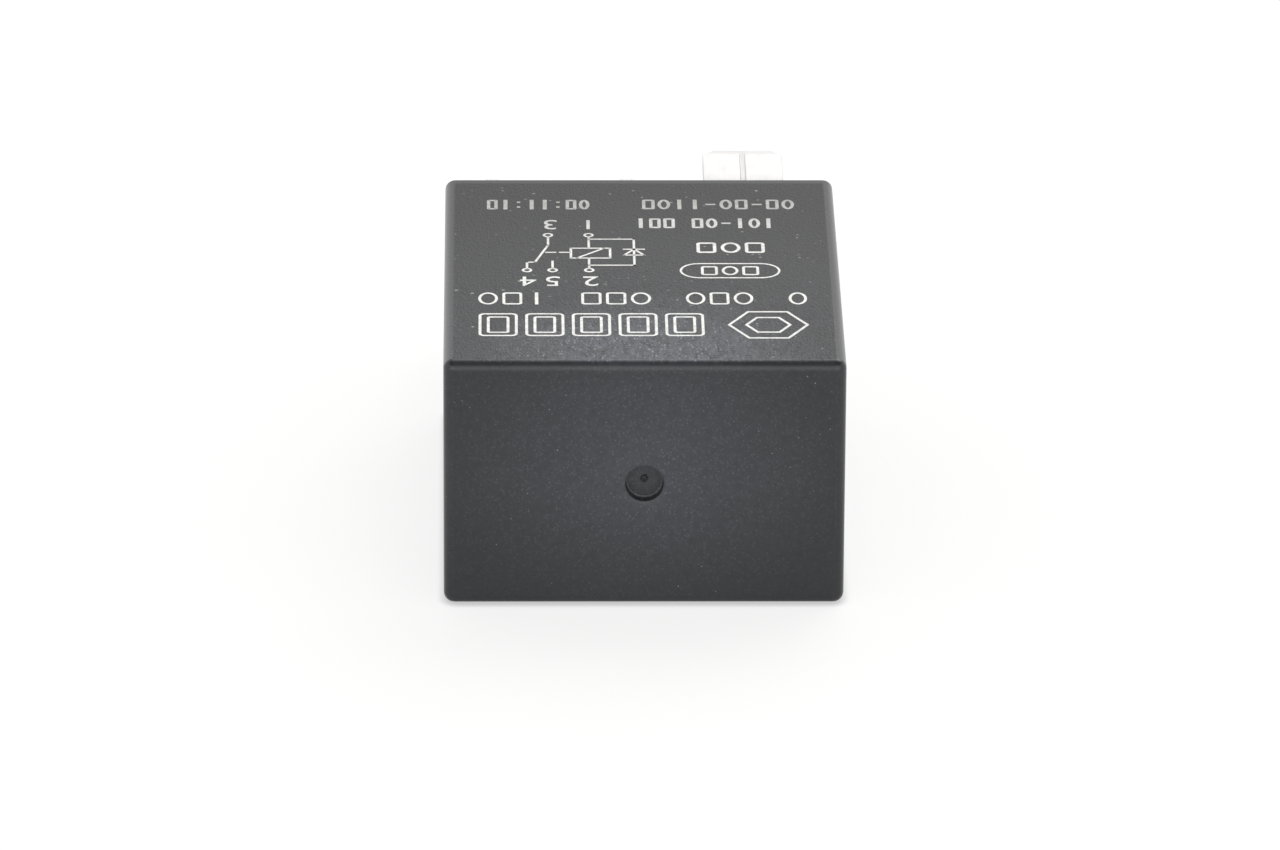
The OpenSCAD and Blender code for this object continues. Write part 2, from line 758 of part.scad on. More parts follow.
// Button with a domed face on top of height h
module domed_button(h) {
    intersection() {
        cylinder(d = button_d, h = h);
        translate([0, 0, h - dome_r]) sphere(dome_r);
    }
}

module moving_contact() {
    color(silver) laid() released() translate([-swing_r, 0, arm_top]) {
        translate([0, 0, spring_t + pin_fit]) domed_button(button_h);
        translate([0, 0, -pin_fit - eps]) cylinder(d = shank_d, h = spring_t + 2 * pin_fit + 2 * eps);
        translate([0, 0, -pin_fit]) mirror([0, 0, 1]) domed_button(button_h);
    }
}

// Fixed contact drawn with its button upwards on a tab of the blades' thickness
module fixed_contact() {
    cylinder(d = button_d, h = fixed_h);
    translate([0, 0, -blade_t - pin_fit]) cylinder(d = shank_d, h = blade_t + pin_fit + eps);
    translate([0, 0, -blade_t - pin_fit - upset_h]) cylinder(d = shank_d + 2 * upset_rim, h = upset_h);
}

module nc_contact() {
    color(silver) laid() translate([contact_x, 0, nc_face + fixed_h]) mirror([0, 0, 1]) fixed_contact();
}

module no_contact() {
    color(silver) laid() translate([contact_x, 0, no_tab_top]) fixed_contact();
}

// ---- diode ----

module diode_body() {
    color(black) laid() translate([post_x, 0, diode_z]) rotate([90, 0, 0])
        cylinder(d = diode_d, h = diode_l, center = true);
}

module diode_lead(s) {
    y0 = diode_l / 2 + pin_fit / 2;
    y1 = post_y - blade_t / 2 - pin_fit;
    color(tin) laid() translate([post_x, s * (y0 + y1) / 2, diode_z]) rotate([90, 0, 0])
        cylinder(d = lead_d, h = y1 - y0, center = true);
}

module diode_lead_1() {
    diode_lead(1);
}

module diode_lead_2() {
    diode_lead(-1);
}

cover();
base();
terminal_1();
terminal_2();
terminal_3();
terminal_4();
terminal_5();
bobbin();
coil_winding();
coil_lead_1();
coil_lead_2();
core();
yoke();
armature();
contact_spring();
moving_contact();
nc_contact();
no_contact();
diode_body();
diode_lead_1();
diode_lead_2();
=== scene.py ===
import math

import bmesh
import bpy
from bpy.props import FloatProperty, FloatVectorProperty, PointerProperty
from bpy.types import Operator, Panel, PropertyGroup
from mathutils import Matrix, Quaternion, Vector


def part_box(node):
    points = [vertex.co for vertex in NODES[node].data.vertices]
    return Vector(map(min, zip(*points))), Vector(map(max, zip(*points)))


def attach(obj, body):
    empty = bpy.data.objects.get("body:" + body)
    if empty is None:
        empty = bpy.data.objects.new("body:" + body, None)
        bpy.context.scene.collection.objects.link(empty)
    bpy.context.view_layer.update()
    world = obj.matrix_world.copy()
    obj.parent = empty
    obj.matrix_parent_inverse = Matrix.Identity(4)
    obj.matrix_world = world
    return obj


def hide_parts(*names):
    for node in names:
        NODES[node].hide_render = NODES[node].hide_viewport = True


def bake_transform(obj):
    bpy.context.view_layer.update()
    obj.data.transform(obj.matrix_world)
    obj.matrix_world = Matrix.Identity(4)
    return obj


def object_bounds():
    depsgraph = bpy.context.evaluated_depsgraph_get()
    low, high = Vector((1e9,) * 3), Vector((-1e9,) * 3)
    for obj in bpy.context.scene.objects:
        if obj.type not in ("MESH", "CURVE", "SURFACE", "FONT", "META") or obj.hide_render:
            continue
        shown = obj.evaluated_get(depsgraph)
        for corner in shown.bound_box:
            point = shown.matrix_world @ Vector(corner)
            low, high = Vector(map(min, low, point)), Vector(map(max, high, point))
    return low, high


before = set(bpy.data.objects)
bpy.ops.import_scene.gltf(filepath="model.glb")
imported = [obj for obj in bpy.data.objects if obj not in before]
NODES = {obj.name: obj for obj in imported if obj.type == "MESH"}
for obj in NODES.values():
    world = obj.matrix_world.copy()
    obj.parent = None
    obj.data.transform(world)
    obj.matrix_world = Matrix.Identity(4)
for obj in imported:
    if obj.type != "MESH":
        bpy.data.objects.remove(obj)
CAD_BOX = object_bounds()

bl_info = {
    "name": "Plug-in Relay",
    "version": (1, 0, 0),
    "blender": (4, 5, 0),
    "location": "3D View > Sidebar > Relay",
    "description": "Makes a plug-in changeover relay round its CAD frame",
    "category": "Add Mesh",
}

MM = 0.001
ROOT = "root"
SWINGING = "armature"

# The cap's box, its middle and half its size, and the place along Y of the base's underside
CASE_LO, CASE_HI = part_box("cover")
CASE_MID, CASE_HALF = (CASE_LO + CASE_HI) / 2, (CASE_HI - CASE_LO) / 2
SEAT_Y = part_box("base")[1].y

Y = 1
WELD = 1e-7
HALF_TURN = math.pi
QUARTER_TURN = math.pi / 2

# The relay's own materials by name, because the frame has some of the same names
MATERIALS = {}


# ---- sizes and colours ----


def length(name, description, default_mm, lowest=0.0):
    """A length property, given in millimetres and kept in metres."""
    return FloatProperty(
        name=name, description=description, default=default_mm * MM, min=lowest * MM,
        subtype="DISTANCE", unit="LENGTH", precision=5,
    )


def colour(name, description, default):
    """A colour property without alpha."""
    return FloatVectorProperty(
        name=name, description=description, default=default, size=3, min=0, max=1, subtype="COLOR"
    )


def angle(name, description, degrees):
    """An angle property, given in degrees."""
    return FloatProperty(
        name=name, description=description, default=math.radians(degrees), subtype="ANGLE",
        unit="ROTATION",
    )


def amount(name, description, default, unit="NONE"):
    """A property for a plain number that is never below zero."""
    return FloatProperty(name=name, description=description, default=default, min=0, unit=unit)


class RelayCase(PropertyGroup):
    """Sizes of the cap and its gate"""

    edge_radius: length("Edge radius", "Radius of the cap's outer edges", 0.6)
    rim_break: length("Rim break", "Small bevel on the rim's edges", 0.06)
    wall: length("Wall", "Thickness of the side walls", 0.85)
    end_wall: length("End wall", "Thickness of the closed end", 0.95)
    inner_radius: length("Inner radius", "Radius of the inner corners", 0.3)
    lead_in: length("Lead-in", "Chamfer inside the rim", 0.2)
    label_drop: length("Label drop", "Drop of the label face under the top of the marks", 0.012)
    gate_diameter: length("Gate diameter", "Diameter of the recess in the closed end", 2.2)
    gate_depth: length("Gate depth", "Depth of the recess", 0.6)
    gate_round: length("Gate round", "Radius at the foot of the recess", 0.15)
    gate_rise: length("Gate rise", "Height of the recess above the end's middle", 0.01)
    mouth_depth: length("Mouth depth", "Depth of the recess's sloping mouth", 0.065)
    mouth_width: length("Mouth width", "Width of the recess's sloping mouth", 0.13)
    gate_lip: length("Gate lip", "Height of the low lip round the recess", 0.03)
    gate_lip_width: length("Gate lip width", "Width of the lip", 0.3)
    gate_ring: length("Gate ring", "Width of the thicker ring inside, round the recess", 0.8)
    stub_diameter: length("Stub diameter", "Diameter of the broken gate in the recess", 0.56)
    stub_rise: length("Stub rise", "Height of the broken gate above the recess's middle", 0.12)
    stub_height: length("Stub height", "How far the broken gate stands out", 0.14)
    stub_tear: length("Stub tear", "Roughness of the broken gate's end", 0.05)
    window_width: length("Window width", "Width of the snap windows", 5.6)
    window_length: length("Window length", "Length of the snap windows, along the case", 1.6)
    window_rim: length("Window distance", "Distance from the rim to the snap windows", 1.2)
    window_radius: length("Window radius", "Radius of the snap windows' corners", 0.2)
    rib_width: length("Rib width", "Width of the ribs that steady the yoke", 0.7)
    rib_end: length("Rib end", "Distance from the seating plane to the ribs' end", 10)
    rib_back: length("Rib place", "Distance from the leaf spring's back to the ribs' middle", 0.95)
    rib_gap: length("Rib gap", "Gap between the ribs and the yoke", 0.3)


class RelayPrint(PropertyGroup):
    """Sizes of the marks on the label face"""

    thickness: length("Thickness", "Height of the marks above the label face", 0.008)
    fine_stroke: length("Fine stroke", "Width of the symbol's lines", 0.14)
    bold_stroke: length("Bold stroke", "Width of the strokes in the small rows", 0.2)
    frame_stroke: length("Frame stroke", "Width of the lines of the large frames", 0.165)
    number_height: length("Number height", "Height of the numbers beside the symbol", 1.45)


class RelayColours(PropertyGroup):
    """Base colours of the materials"""

    cap: colour("Cap", "Eroded black plastic of the cap", (0.035, 0.038, 0.044))
    base: colour("Base", "Smooth black plastic of the base", (0.04, 0.041, 0.043))
    marks: colour("Marks", "Pale marks burnt into the cap", (0.94, 0.93, 0.9))
    tin: colour("Tin", "Tin plate on the blades", (0.69, 0.683, 0.672))
    zinc: colour("Zinc", "Zinc plate on the iron", (0.56, 0.57, 0.59))
    bronze: colour("Bronze", "Bronze of the leaf spring", (0.72, 0.46, 0.2))
    silver: colour("Silver", "Silver alloy of the contacts", (0.82, 0.81, 0.79))
    enamel: colour("Enamel", "Enamelled copper wire", (0.6, 0.21, 0.07))
    nylon: colour("Nylon", "Natural nylon of the bobbin", (0.74, 0.71, 0.61))
    diode: colour("Diode", "Moulded body of the diode", (0.025, 0.025, 0.027))


class RelayStudio(PropertyGroup):
    """Camera, lamps and floor"""

    camera_distance: length("Camera distance", "Distance from the camera to the case", 598.9)
    camera_height: angle("Camera height", "Angle of the camera above the floor", 23.155)
    camera_turn: angle("Camera turn", "Angle of the camera to the left of the case's middle", 0.868)
    camera_roll: angle("Camera roll", "Turn of the camera about its own axis", 0.328)
    focal_length: amount("Focal length", "Focal length of the lens, in millimetres", 287.6)
    aim_height: length("Aim height", "Height that the camera looks at", 5.274)
    aim_side: length("Aim side", "Offset of the aim across the case", -0.064, lowest=-10)
    floor_size: length("Floor size", "Side of the floor", 3000)
    floor_drop: length("Floor drop", "Gap between the case and the floor", 0.02)
    contact_reach: length("Contact reach", "Reach of the dark corner between case and floor", 0.6)
    lamp_side: length("Lamp side", "Side of the square softbox", 340)
    lamp_power: amount("Lamp power", "Power of the softbox, in watts", 0.9, "POWER")
    horizon_light: amount("Horizon light", "Strength of the light from low down, all round", 1.1)
    horizon_boost: amount("Horizon boost", "How much stronger the horizon's light is in front", 2.0)
    ceiling_light: amount("Ceiling light", "Strength of the light from above and behind", 0.95)
    room_light: amount("Room light", "Strength of the light from in front, above the camera", 0.22)


# ---- selection and editing ----


def deselect_all():
    """Leaves edit mode and deselects everything, the frame's nodes included."""
    if bpy.context.object and bpy.context.object.mode != "OBJECT":
        bpy.ops.object.mode_set(mode="OBJECT")
    bpy.ops.object.select_all(action="DESELECT")


def select_only(*pieces):
    """Selects these pieces alone and makes the first one active."""
    deselect_all()
    for piece in pieces:
        piece.select_set(True)
    bpy.context.view_layer.objects.active = pieces[0]


def pick(piece, kind, wanted):
    """Opens the piece in edit mode with only its wanted vertices, edges or faces selected."""
    select_only(piece)
    bpy.ops.object.mode_set(mode="EDIT")
    bpy.ops.mesh.select_all(action="DESELECT")
    bpy.ops.mesh.select_mode(type=kind)
    mesh = bmesh.from_edit_mesh(piece.data)
    for element in {"VERT": mesh.verts, "EDGE": mesh.edges, "FACE": mesh.faces}[kind]:
        if wanted(element):
            element.select_set(True)
    bmesh.update_edit_mesh(piece.data)


def close_edit():
    """Goes back to object mode."""
    bpy.ops.object.mode_set(mode="OBJECT")


def near(a, b):
    """Whether two lengths are the same."""
    return abs(a - b) < 1e-6


def lies_at(axis, place):
    """A test for an edge or a face that lies wholly at one place along an axis."""
    return lambda element: all(near(vertex.co[axis], place) for vertex in element.verts)


def bevel(piece, width, segments, wanted, affect="EDGES"):
    """Bevels the wanted edges or corners of a piece."""
    pick(piece, {"EDGES": "EDGE", "VERTICES": "VERT"}[affect], wanted)
    bpy.ops.mesh.bevel(offset=width, segments=segments, profile=0.5, affect=affect)
    close_edit()


def add_object(name, data):
    """An object for a mesh, a lamp or a camera."""
    made = bpy.data.objects.new(name, data)
    bpy.context.scene.collection.objects.link(made)
    return made


def named(name):
    """Names the object just added and moves its place into its mesh."""
    piece = bpy.context.object
    piece.name = piece.data.name = name
    bpy.ops.object.transform_apply(location=True, rotation=True, scale=True)
    return piece


def add_block(name, lo, hi):
    """A box between two corners."""
    deselect_all()
    lo, hi = Vector(lo), Vector(hi)
    bpy.ops.mesh.primitive_cube_add(size=1, location=(lo + hi) / 2, scale=hi - lo)
    return named(name)


def add_round(name, y, z, radius, depth, sides=64, top=None):
    """A cylinder or cone along Y about its centre, which lies in the case's middle plane."""
    deselect_all()
    bpy.ops.mesh.primitive_cone_add(
        vertices=sides, radius1=radius, radius2=radius if top is None else top, depth=depth,
        location=(CASE_MID.x, y, z), rotation=(QUARTER_TURN, 0, 0),
    )
    return named(name)


def finish_modifier(piece, kind, **settings):
    """Adds a modifier and applies it."""
    select_only(piece)
    modifier = piece.modifiers.new(kind.title(), kind)
    for name, value in settings.items():
        setattr(modifier, name, value)
    bpy.ops.object.modifier_apply(modifier=modifier.name)


def combine(piece, tool, operation):
    """Cuts the tool out of the piece, or adds it, and removes the tool."""
    finish_modifier(piece, "BOOLEAN", object=tool, operation=operation, solver="EXACT")
    bpy.data.objects.remove(tool)


def join(name, pieces):
    """Makes one piece of several."""
    select_only(*pieces)
    bpy.ops.object.join()
    return named(name)


def smooth(piece):
    """Smooth shading up to 35 degrees, with flat faces kept flat."""
    select_only(piece)
    bpy.ops.object.shade_smooth_by_angle(angle=math.radians(35))
    finish_modifier(piece, "WEIGHTED_NORMAL", keep_sharp=True, weight=100)


def weld(piece):
    """Merges doubles and clears the edges inside flat faces."""
    pick(piece, "VERT", lambda vertex: True)
    bpy.ops.mesh.remove_doubles(threshold=WELD)
    bpy.ops.mesh.dissolve_limited(angle_limit=math.radians(0.3))
    close_edit()


def set_material(piece, material):
    """Gives a piece one material, by its name."""
    piece.data.materials.clear()
    piece.data.materials.append(MATERIALS[material])


def dress(piece, material, body=ROOT, replaced=()):
    """Gives a finished piece its material and the body that carries it, and hides the nodes it
    replaces.
    """
    set_material(piece, material)
    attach(piece, body)
    if replaced:
        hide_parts(*replaced)


def copy_node(node, name, edge_break=0.0):
    """A welded copy of a CAD node, with its edges broken by a small bevel."""
    deselect_all()
    piece = add_object(name, NODES[node].data.copy())
    piece.data.name = name
    weld(piece)
    if edge_break:
        finish_modifier(
            piece, "BEVEL", width=edge_break, segments=2, limit_method="ANGLE",
            angle_limit=math.radians(40), miter_outer="MITER_ARC",
        )
    smooth(piece)
    return piece


# ---- materials ----


def plug(tree, made, inputs):
    """Fills a node's inputs. Each is given as a value, or as a socket to link."""
    for name, value in inputs.items():
        if isinstance(value, bpy.types.NodeSocket):
            tree.links.new(value, made.inputs[name])
        else:
            made.inputs[name].default_value = value
    return made


def add_node(tree, kind, inputs=None, **settings):
    """Adds a shader node with its settings and inputs."""
    made = tree.nodes.new("ShaderNode" + kind)
    for name, value in settings.items():
        setattr(made, name, value)
    return plug(tree, made, inputs or {})


def maths(tree, operation, a, b=0.0, c=0.0):
    """A Math node's output."""
    return add_node(tree, "Math", {0: a, 1: b, 2: c}, operation=operation).outputs[0]


def product(tree, first, *others):
    """Several values multiplied."""
    for other in others:
        first = maths(tree, "MULTIPLY", first, other)
    return first


def vector_maths(tree, operation, a, b=(0.0, 0.0, 0.0)):
    """A Vector Math node's output."""
    made = add_node(tree, "VectorMath", {0: a, 1: b}, operation=operation)
    return made.outputs["Value" if operation == "DISTANCE" else "Vector"]


def axes(tree, vector):
    """A vector's three parts."""
    return add_node(tree, "SeparateXYZ", {"Vector": vector}).outputs


def spread(tree, value, from_lo, from_hi, to_lo, to_hi):
    """A Map Range node's output."""
    return add_node(tree, "MapRange", {
        "Value": value, "From Min": from_lo, "From Max": from_hi, "To Min": to_lo, "To Max": to_hi,
    }).outputs[0]


def noise(tree, vector, scale, detail=2.0, roughness=0.5):
    """A Noise Texture's factor."""
    return add_node(tree, "TexNoise", {
        "Vector": vector, "Scale": scale, "Detail": detail, "Roughness": roughness,
    }).outputs["Fac"]


def new_group(name, inputs, outputs):
    """A new node group, what its inputs give and what its outputs take. A number as an input's
    default makes a value, and three numbers or None a vector. All outputs are values."""
    group = bpy.data.node_groups.new(name, "ShaderNodeTree")
    for socket, default in inputs.items():
        kind = "NodeSocketFloat" if isinstance(default, float) else "NodeSocketVector"
        made = group.interface.new_socket(socket, in_out="INPUT", socket_type=kind)
        if default is not None:
            made.default_value = default
    for socket in outputs:
        group.interface.new_socket(socket, in_out="OUTPUT", socket_type="NodeSocketFloat")
    start, end = group.nodes.new("NodeGroupInput"), group.nodes.new("NodeGroupOutput")
    return group, [start.outputs[socket] for socket in inputs], end.inputs


def scattered_cells(group, vector, scale):
    """Scattered cells: the distance from a cell's middle and two random values of each cell."""
    cells = add_node(group, "TexVoronoi", {"Vector": vector, "Scale": scale}).outputs
    chance = add_node(group, "SeparateColor", {"Color": cells["Color"]}).outputs
    return cells["Distance"], chance[0], chance[1]


def make_grain_group():
    """Fine grain of an eroded mould: small round bumps, as a height and a shade."""
    group, (vector, scale, contrast), out = new_group(
        "fine_grain", {"Vector": None, "Scale": 6000.0, "Contrast": 0.3}, ("Height", "Shade")
    )
    distance, chance, other_chance = scattered_cells(group, vector, scale)
    bump = spread(group, distance, 0.1, 0.6, 1.0, 0.0)
    height = product(group, bump, spread(group, chance, 0.0, 1.0, 0.4, 1.0))
    pale = product(group, bump, maths(group, "POWER", other_chance, 3.0), 3.0)
    pits = noise(group, vector, product(group, scale, 0.4), 2.0, 0.6)
    swing = maths(group, "ADD", pale, spread(group, pits, 0.3, 0.7, -0.8, 0.0))
    group.links.new(height, out["Height"])
    group.links.new(maths(group, "MULTIPLY_ADD", swing, contrast, 1.0), out["Shade"])


def make_edges_group():
    """Rubbed edges of a box: a mask that is 1 on its rounded edges and 0 on its faces."""
    group, (vector, middle, half, reach), out = new_group(
        "rubbed_edges", {"Vector": None, "Middle": None, "Half": None, "Reach": 0.0006}, ("Mask",)
    )
    away = vector_maths(group, "ABSOLUTE", vector_maths(group, "SUBTRACT", vector, middle))
    inside = axes(group, vector_maths(group, "SUBTRACT", half, away))
    sides = [spread(group, side, 0.0, reach, 1.0, 0.0) for side in inside]
    total = maths(group, "ADD", maths(group, "ADD", sides[0], sides[1]), sides[2])
    group.links.new(spread(group, total, 0.95, 1.15, 0.0, 1.0), out["Mask"])


def make_specks_group():
    """Scattered bright specks of dust: a mask."""
    group, (vector, scale, share, size), out = new_group(
        "dust_specks", {"Vector": None, "Scale": 1500.0, "Amount": 0.1, "Size": 0.16}, ("Mask",)
    )
    distance, chance, other_chance = scattered_cells(group, vector, scale)
    chosen = maths(group, "LESS_THAN", chance, share)
    spot = maths(group, "LESS_THAN", distance, product(group, size, other_chance))
    group.links.new(product(group, chosen, spot), out["Mask"])


def swing_about_one(group, value, contrast):
    """A noise turned into a shade that swings about one."""
    swing = product(group, maths(group, "SUBTRACT", value, 0.5), contrast)
    return maths(group, "MULTIPLY_ADD", swing, 2.0, 1.0)


def make_mottle_group():
    """Slow, soft unevenness of a surface: a value about one."""
    group, (vector, scale, contrast), out = new_group(
        "soft_mottle", {"Vector": None, "Scale": 300.0, "Contrast": 0.1}, ("Shade",)
    )
    value = noise(group, vector, scale)
    group.links.new(swing_about_one(group, value, contrast), out["Shade"])


def make_rolled_group():
    """Fine rolling lines of strip metal along one axis: a height and a shade."""
    group, (vector, scale, contrast), out = new_group(
        "rolled_lines", {"Vector": None, "Scale": (12000.0, 400.0, 12000.0), "Contrast": 0.2},
        ("Height", "Shade"),
    )
    lines = noise(group, vector_maths(group, "MULTIPLY", vector, scale), 1.0, 3.0, 0.6)
    group.links.new(lines, out["Height"])
    group.links.new(swing_about_one(group, lines, contrast), out["Shade"])


def use_group(tree, name, **inputs):
    """The outputs of a node group placed in a material."""
    return add_node(tree, "Group", inputs, node_tree=bpy.data.node_groups[name]).outputs


def new_material(name):
    """A new material's node tree, its shader and its Object coordinates."""
    material = MATERIALS[name] = bpy.data.materials.new(name)
    material.use_nodes = True
    tree = material.node_tree
    shader = next(n for n in tree.nodes if n.type == "BSDF_PRINCIPLED")
    return tree, shader, add_node(tree, "TexCoord").outputs["Object"]


def tinted(tree, rgb, shade):
    """A colour multiplied by a shade that changes over the surface."""
    inputs = {0: tuple(rgb), "Scale": shade}
    return add_node(tree, "VectorMath", inputs, operation="SCALE").outputs[0]


def mixed(tree, share, below, above):
    """One colour over another."""
    inputs = {"Factor": share, "A": below, "B": (*above, 1.0)}
    return add_node(tree, "Mix", inputs, data_type="RGBA").outputs["Result"]


def paint(tree, shader, rgb, roughness, height=None, depth_mm=0.0):
    """Links a colour, a roughness and, if there is one, the height of a bump to the shader."""
    tree.links.new(rgb, shader.inputs["Base Color"])
    tree.links.new(roughness, shader.inputs["Roughness"])
    if height:
        bump = add_node(tree, "Bump", {"Distance": depth_mm * MM, "Height": height})
        tree.links.new(bump.outputs[0], shader.inputs["Normal"])


def cap_spot(tree, place):
    """A point's distance from the gate, its height, its distance from the cap's middle plane, and
    masks of the label face and the rounded edges."""
    away = vector_maths(tree, "DISTANCE", place, (CASE_MID.x, CASE_LO.y, CASE_MID.z))
    across, _, height = axes(tree, place)
    aside = maths(tree, "ABSOLUTE", maths(tree, "SUBTRACT", across, CASE_MID.x))
    label = spread(tree, height, CASE_HI.z - 0.12 * MM, CASE_HI.z - 0.03 * MM, 0.0, 1.0)
    edges = use_group(
        tree, "rubbed_edges", Vector=place, Middle=CASE_MID, Half=CASE_HALF, Reach=0.6 * MM
    )["Mask"]
    return away, height, aside, label, edges


def cap_tone_and_painted_light(tree, away, height, label):
    """The cap's tone: paler round the gate, with a painted highlight on the label face near it, and
    painted shade low down, in the recess and towards the back beside the blades."""
    recess_foot, recess_rim = 1.1 * MM, 1.3 * MM
    ring = spread(tree, away, 2 * MM, 11 * MM, 1.35, 0.6)
    # Painted shade: darker inside the gate's recess
    recess = spread(tree, away, recess_foot, recess_rim, 0.7, 1.0)
    # Painted shade: darker towards the back, beside the blades
    far = spread(tree, away, 14 * MM, 27 * MM, 0.93, 0.15)
    # Painted shade: darker low down, near the floor
    low = spread(tree, height, CASE_LO.z, CASE_MID.z, 0.5, 1.0)
    # Painted highlight: the label face is paler near the front
    painted_highlight = product(tree, label, spread(tree, away, 8 * MM, 13 * MM, 2.0, 0.0))
    return maths(tree, "MULTIPLY_ADD", product(tree, ring, recess), product(tree, far, low), painted_highlight)


def cap_specks(tree, place, away, height, aside, edges):
    """Pale specks of the eroded surface, in patches, and a few larger grains of dust. Both are
    faint on the sides, on the back face and on the edges."""
    faint = use_group(tree, "dust_specks", Vector=place, Scale=2200.0, Amount=0.45, Size=0.24)[0]
    patch = spread(tree, noise(tree, place, 420.0), 0.42, 0.62, 0.02, 0.42)
    clear_of_gate = spread(tree, away, 2.5 * MM, 4.5 * MM, 0.1, 1.0)
    dust = use_group(tree, "dust_specks", Vector=place, Scale=420.0, Amount=0.1, Size=0.085)[0]
    dust_strength = 0.7
    specks = maths(
        tree, "MAXIMUM", product(tree, faint, patch, clear_of_gate),
        product(tree, dust, dust_strength),
    )
    side = CASE_HALF.x
    off_sides = spread(tree, aside, side - 0.07 * MM, side - 0.02 * MM, 1.0, 0.08)
    off_back = spread(tree, height, CASE_LO.z + 0.02 * MM, CASE_LO.z + 0.07 * MM, 0.08, 1.0)
    off_edges = spread(tree, edges, 0.0, 1.0, 1.0, 0.1)
    return product(tree, specks, off_sides, off_back, off_edges)


def cap_material(rgb):
    """Black plastic from an eroded mould, rubbed edges, a little dust; painted glints, highlight
    and shade.
    """
    tree, shader, place = new_material("cap_plastic")
    away, height, aside, label, edges = cap_spot(tree, place)
    # Painted glints: stronger pale grains on the label face near the front; the same mask deepens
    # the bump there
    coarse_grain_and_glints = product(tree, label, spread(tree, away, 9 * MM, 19 * MM, 1.0, 0.15))
    drawn = vector_maths(tree, "MULTIPLY", place, (1.0, 0.45, 1.0))
    contrast = maths(tree, "MULTIPLY_ADD", coarse_grain_and_glints, 0.6, 0.32)
    grain = use_group(tree, "fine_grain", Vector=drawn, Scale=7000.0, Contrast=contrast)
    mottle = use_group(tree, "soft_mottle", Vector=place, Scale=260.0, Contrast=0.1)[0]
    # The cap's tone: grain, mottle, paleness round the gate, a painted highlight and painted shade
    shade = product(tree, grain["Shade"], mottle, cap_tone_and_painted_light(tree, away, height, label))
    specks = cap_specks(tree, place, away, height, aside, edges)
    plastic = mixed(tree, specks, tinted(tree, rgb, shade), (0.7, 0.7, 0.68))
    mouth_middle, mouth_half = 1.24 * MM, 0.11 * MM
    mouth = maths(tree, "COMPARE", away, mouth_middle, mouth_half)
    matt = 0.56
    rubbed = spread(tree, aside, CASE_HALF.x - 0.7 * MM, CASE_HALF.x - 0.5 * MM, 0.38, 0.24)
    roughness = spread(tree, maths(tree, "MAXIMUM", edges, mouth), 0.0, 1.0, matt, rubbed)
    bump = product(
        tree, grain["Height"], maths(tree, "MULTIPLY_ADD", coarse_grain_and_glints, 1.2, 0.4),
        spread(tree, edges, 0.0, 1.0, 1.0, 0.1),
    )
    paint(tree, shader, plastic, roughness, bump, 0.045)


def base_material(rgb):
    """Smooth black plastic with a faint grain."""
    tree, shader, place = new_material("base_plastic")
    grain = use_group(tree, "fine_grain", Vector=place, Scale=4000.0, Contrast=0.12)
    height = grain["Height"]
    roughness = spread(tree, height, 0.3, 0.7, 0.38, 0.5)
    paint(tree, shader, tinted(tree, rgb, grain["Shade"]), roughness, height, 0.004)


def mark_material(rgb):
    """Pale burnt marks, a little uneven, and darker in the rows beside the blades."""
    tree, shader, place = new_material("burnt_marks")
    grain = use_group(tree, "fine_grain", Vector=place, Scale=6000.0, Contrast=0.12)
    darker_at_back = spread(tree, axes(tree, place)["Y"], 3 * MM, 10 * MM, 1.0, 0.52)
    patch = spread(tree, noise(tree, place, 1900.0), 0.35, 0.65, 0.86, 1.06)
    shade = product(tree, grain["Shade"], patch, darker_at_back)
    height = grain["Height"]
    roughness = spread(tree, height, 0.0, 1.0, 0.6, 0.8)
    paint(tree, shader, tinted(tree, rgb, shade), roughness, height, 0.004)


def strip_material(name, rgb, roughness, lines, contrast=0.12):
    """Rolled or plated metal strip, its lines along one axis, darker below the tips: a painted
    reflection of the case.
    """
    tree, shader, place = new_material(name)
    rolled = use_group(tree, "rolled_lines", Vector=place, Scale=lines, Contrast=contrast)
    mottle = use_group(tree, "soft_mottle", Vector=place, Scale=700.0, Contrast=0.08)[0]
    # Painted reflection of the dark case: darker towards the blades' foot; parts further in are
    # darker all over
    reflection_end, bright_start = CAD_BOX[1].y - 5.6 * MM, CAD_BOX[1].y - 4.2 * MM
    painted_case_reflection = spread(tree, axes(tree, place)["Y"], reflection_end, bright_start, 0.82, 1.0)
    shade = product(tree, rolled["Shade"], mottle, painted_case_reflection)
    shader.inputs["Metallic"].default_value = 1.0
    polish = spread(tree, rolled["Height"], 0.3, 0.7, roughness - 0.06, roughness + 0.08)
    paint(tree, shader, tinted(tree, rgb, shade), polish, rolled["Height"], 0.002)


def wire_material(rgb):
    """Enamelled copper wire, wound in fine turns."""
    tree, shader, place = new_material("enamelled_wire")
    turns = add_node(tree, "TexWave", {
        "Vector": place, "Scale": 2600.0, "Distortion": 0.6, "Detail": 1.0, "Detail Scale": 300.0,
    }, bands_direction="Y").outputs["Fac"]
    mottle = use_group(tree, "soft_mottle", Vector=place, Scale=500.0, Contrast=0.16)[0]
    shade = product(tree, spread(tree, turns, 0, 1, 0.6, 1.1), mottle)
    shader.inputs["Metallic"].default_value = 0.85
    shader.inputs["Coat Weight"].default_value = 0.5
    shader.inputs["Coat Roughness"].default_value = 0.15
    roughness = spread(tree, turns, 0, 1, 0.4, 0.28)
    paint(tree, shader, tinted(tree, rgb, shade), roughness, turns, 0.03)


def nylon_material(rgb):
    """Natural nylon, slightly uneven."""
    tree, shader, place = new_material("natural_nylon")
    mottle = use_group(tree, "soft_mottle", Vector=place, Scale=900.0, Contrast=0.08)[0]
    grain = use_group(tree, "fine_grain", Vector=place, Scale=5000.0, Contrast=0.1)
    height = grain["Height"]
    roughness = spread(tree, height, 0.3, 0.7, 0.36, 0.48)
    paint(tree, shader, tinted(tree, rgb, mottle), roughness, height, 0.003)


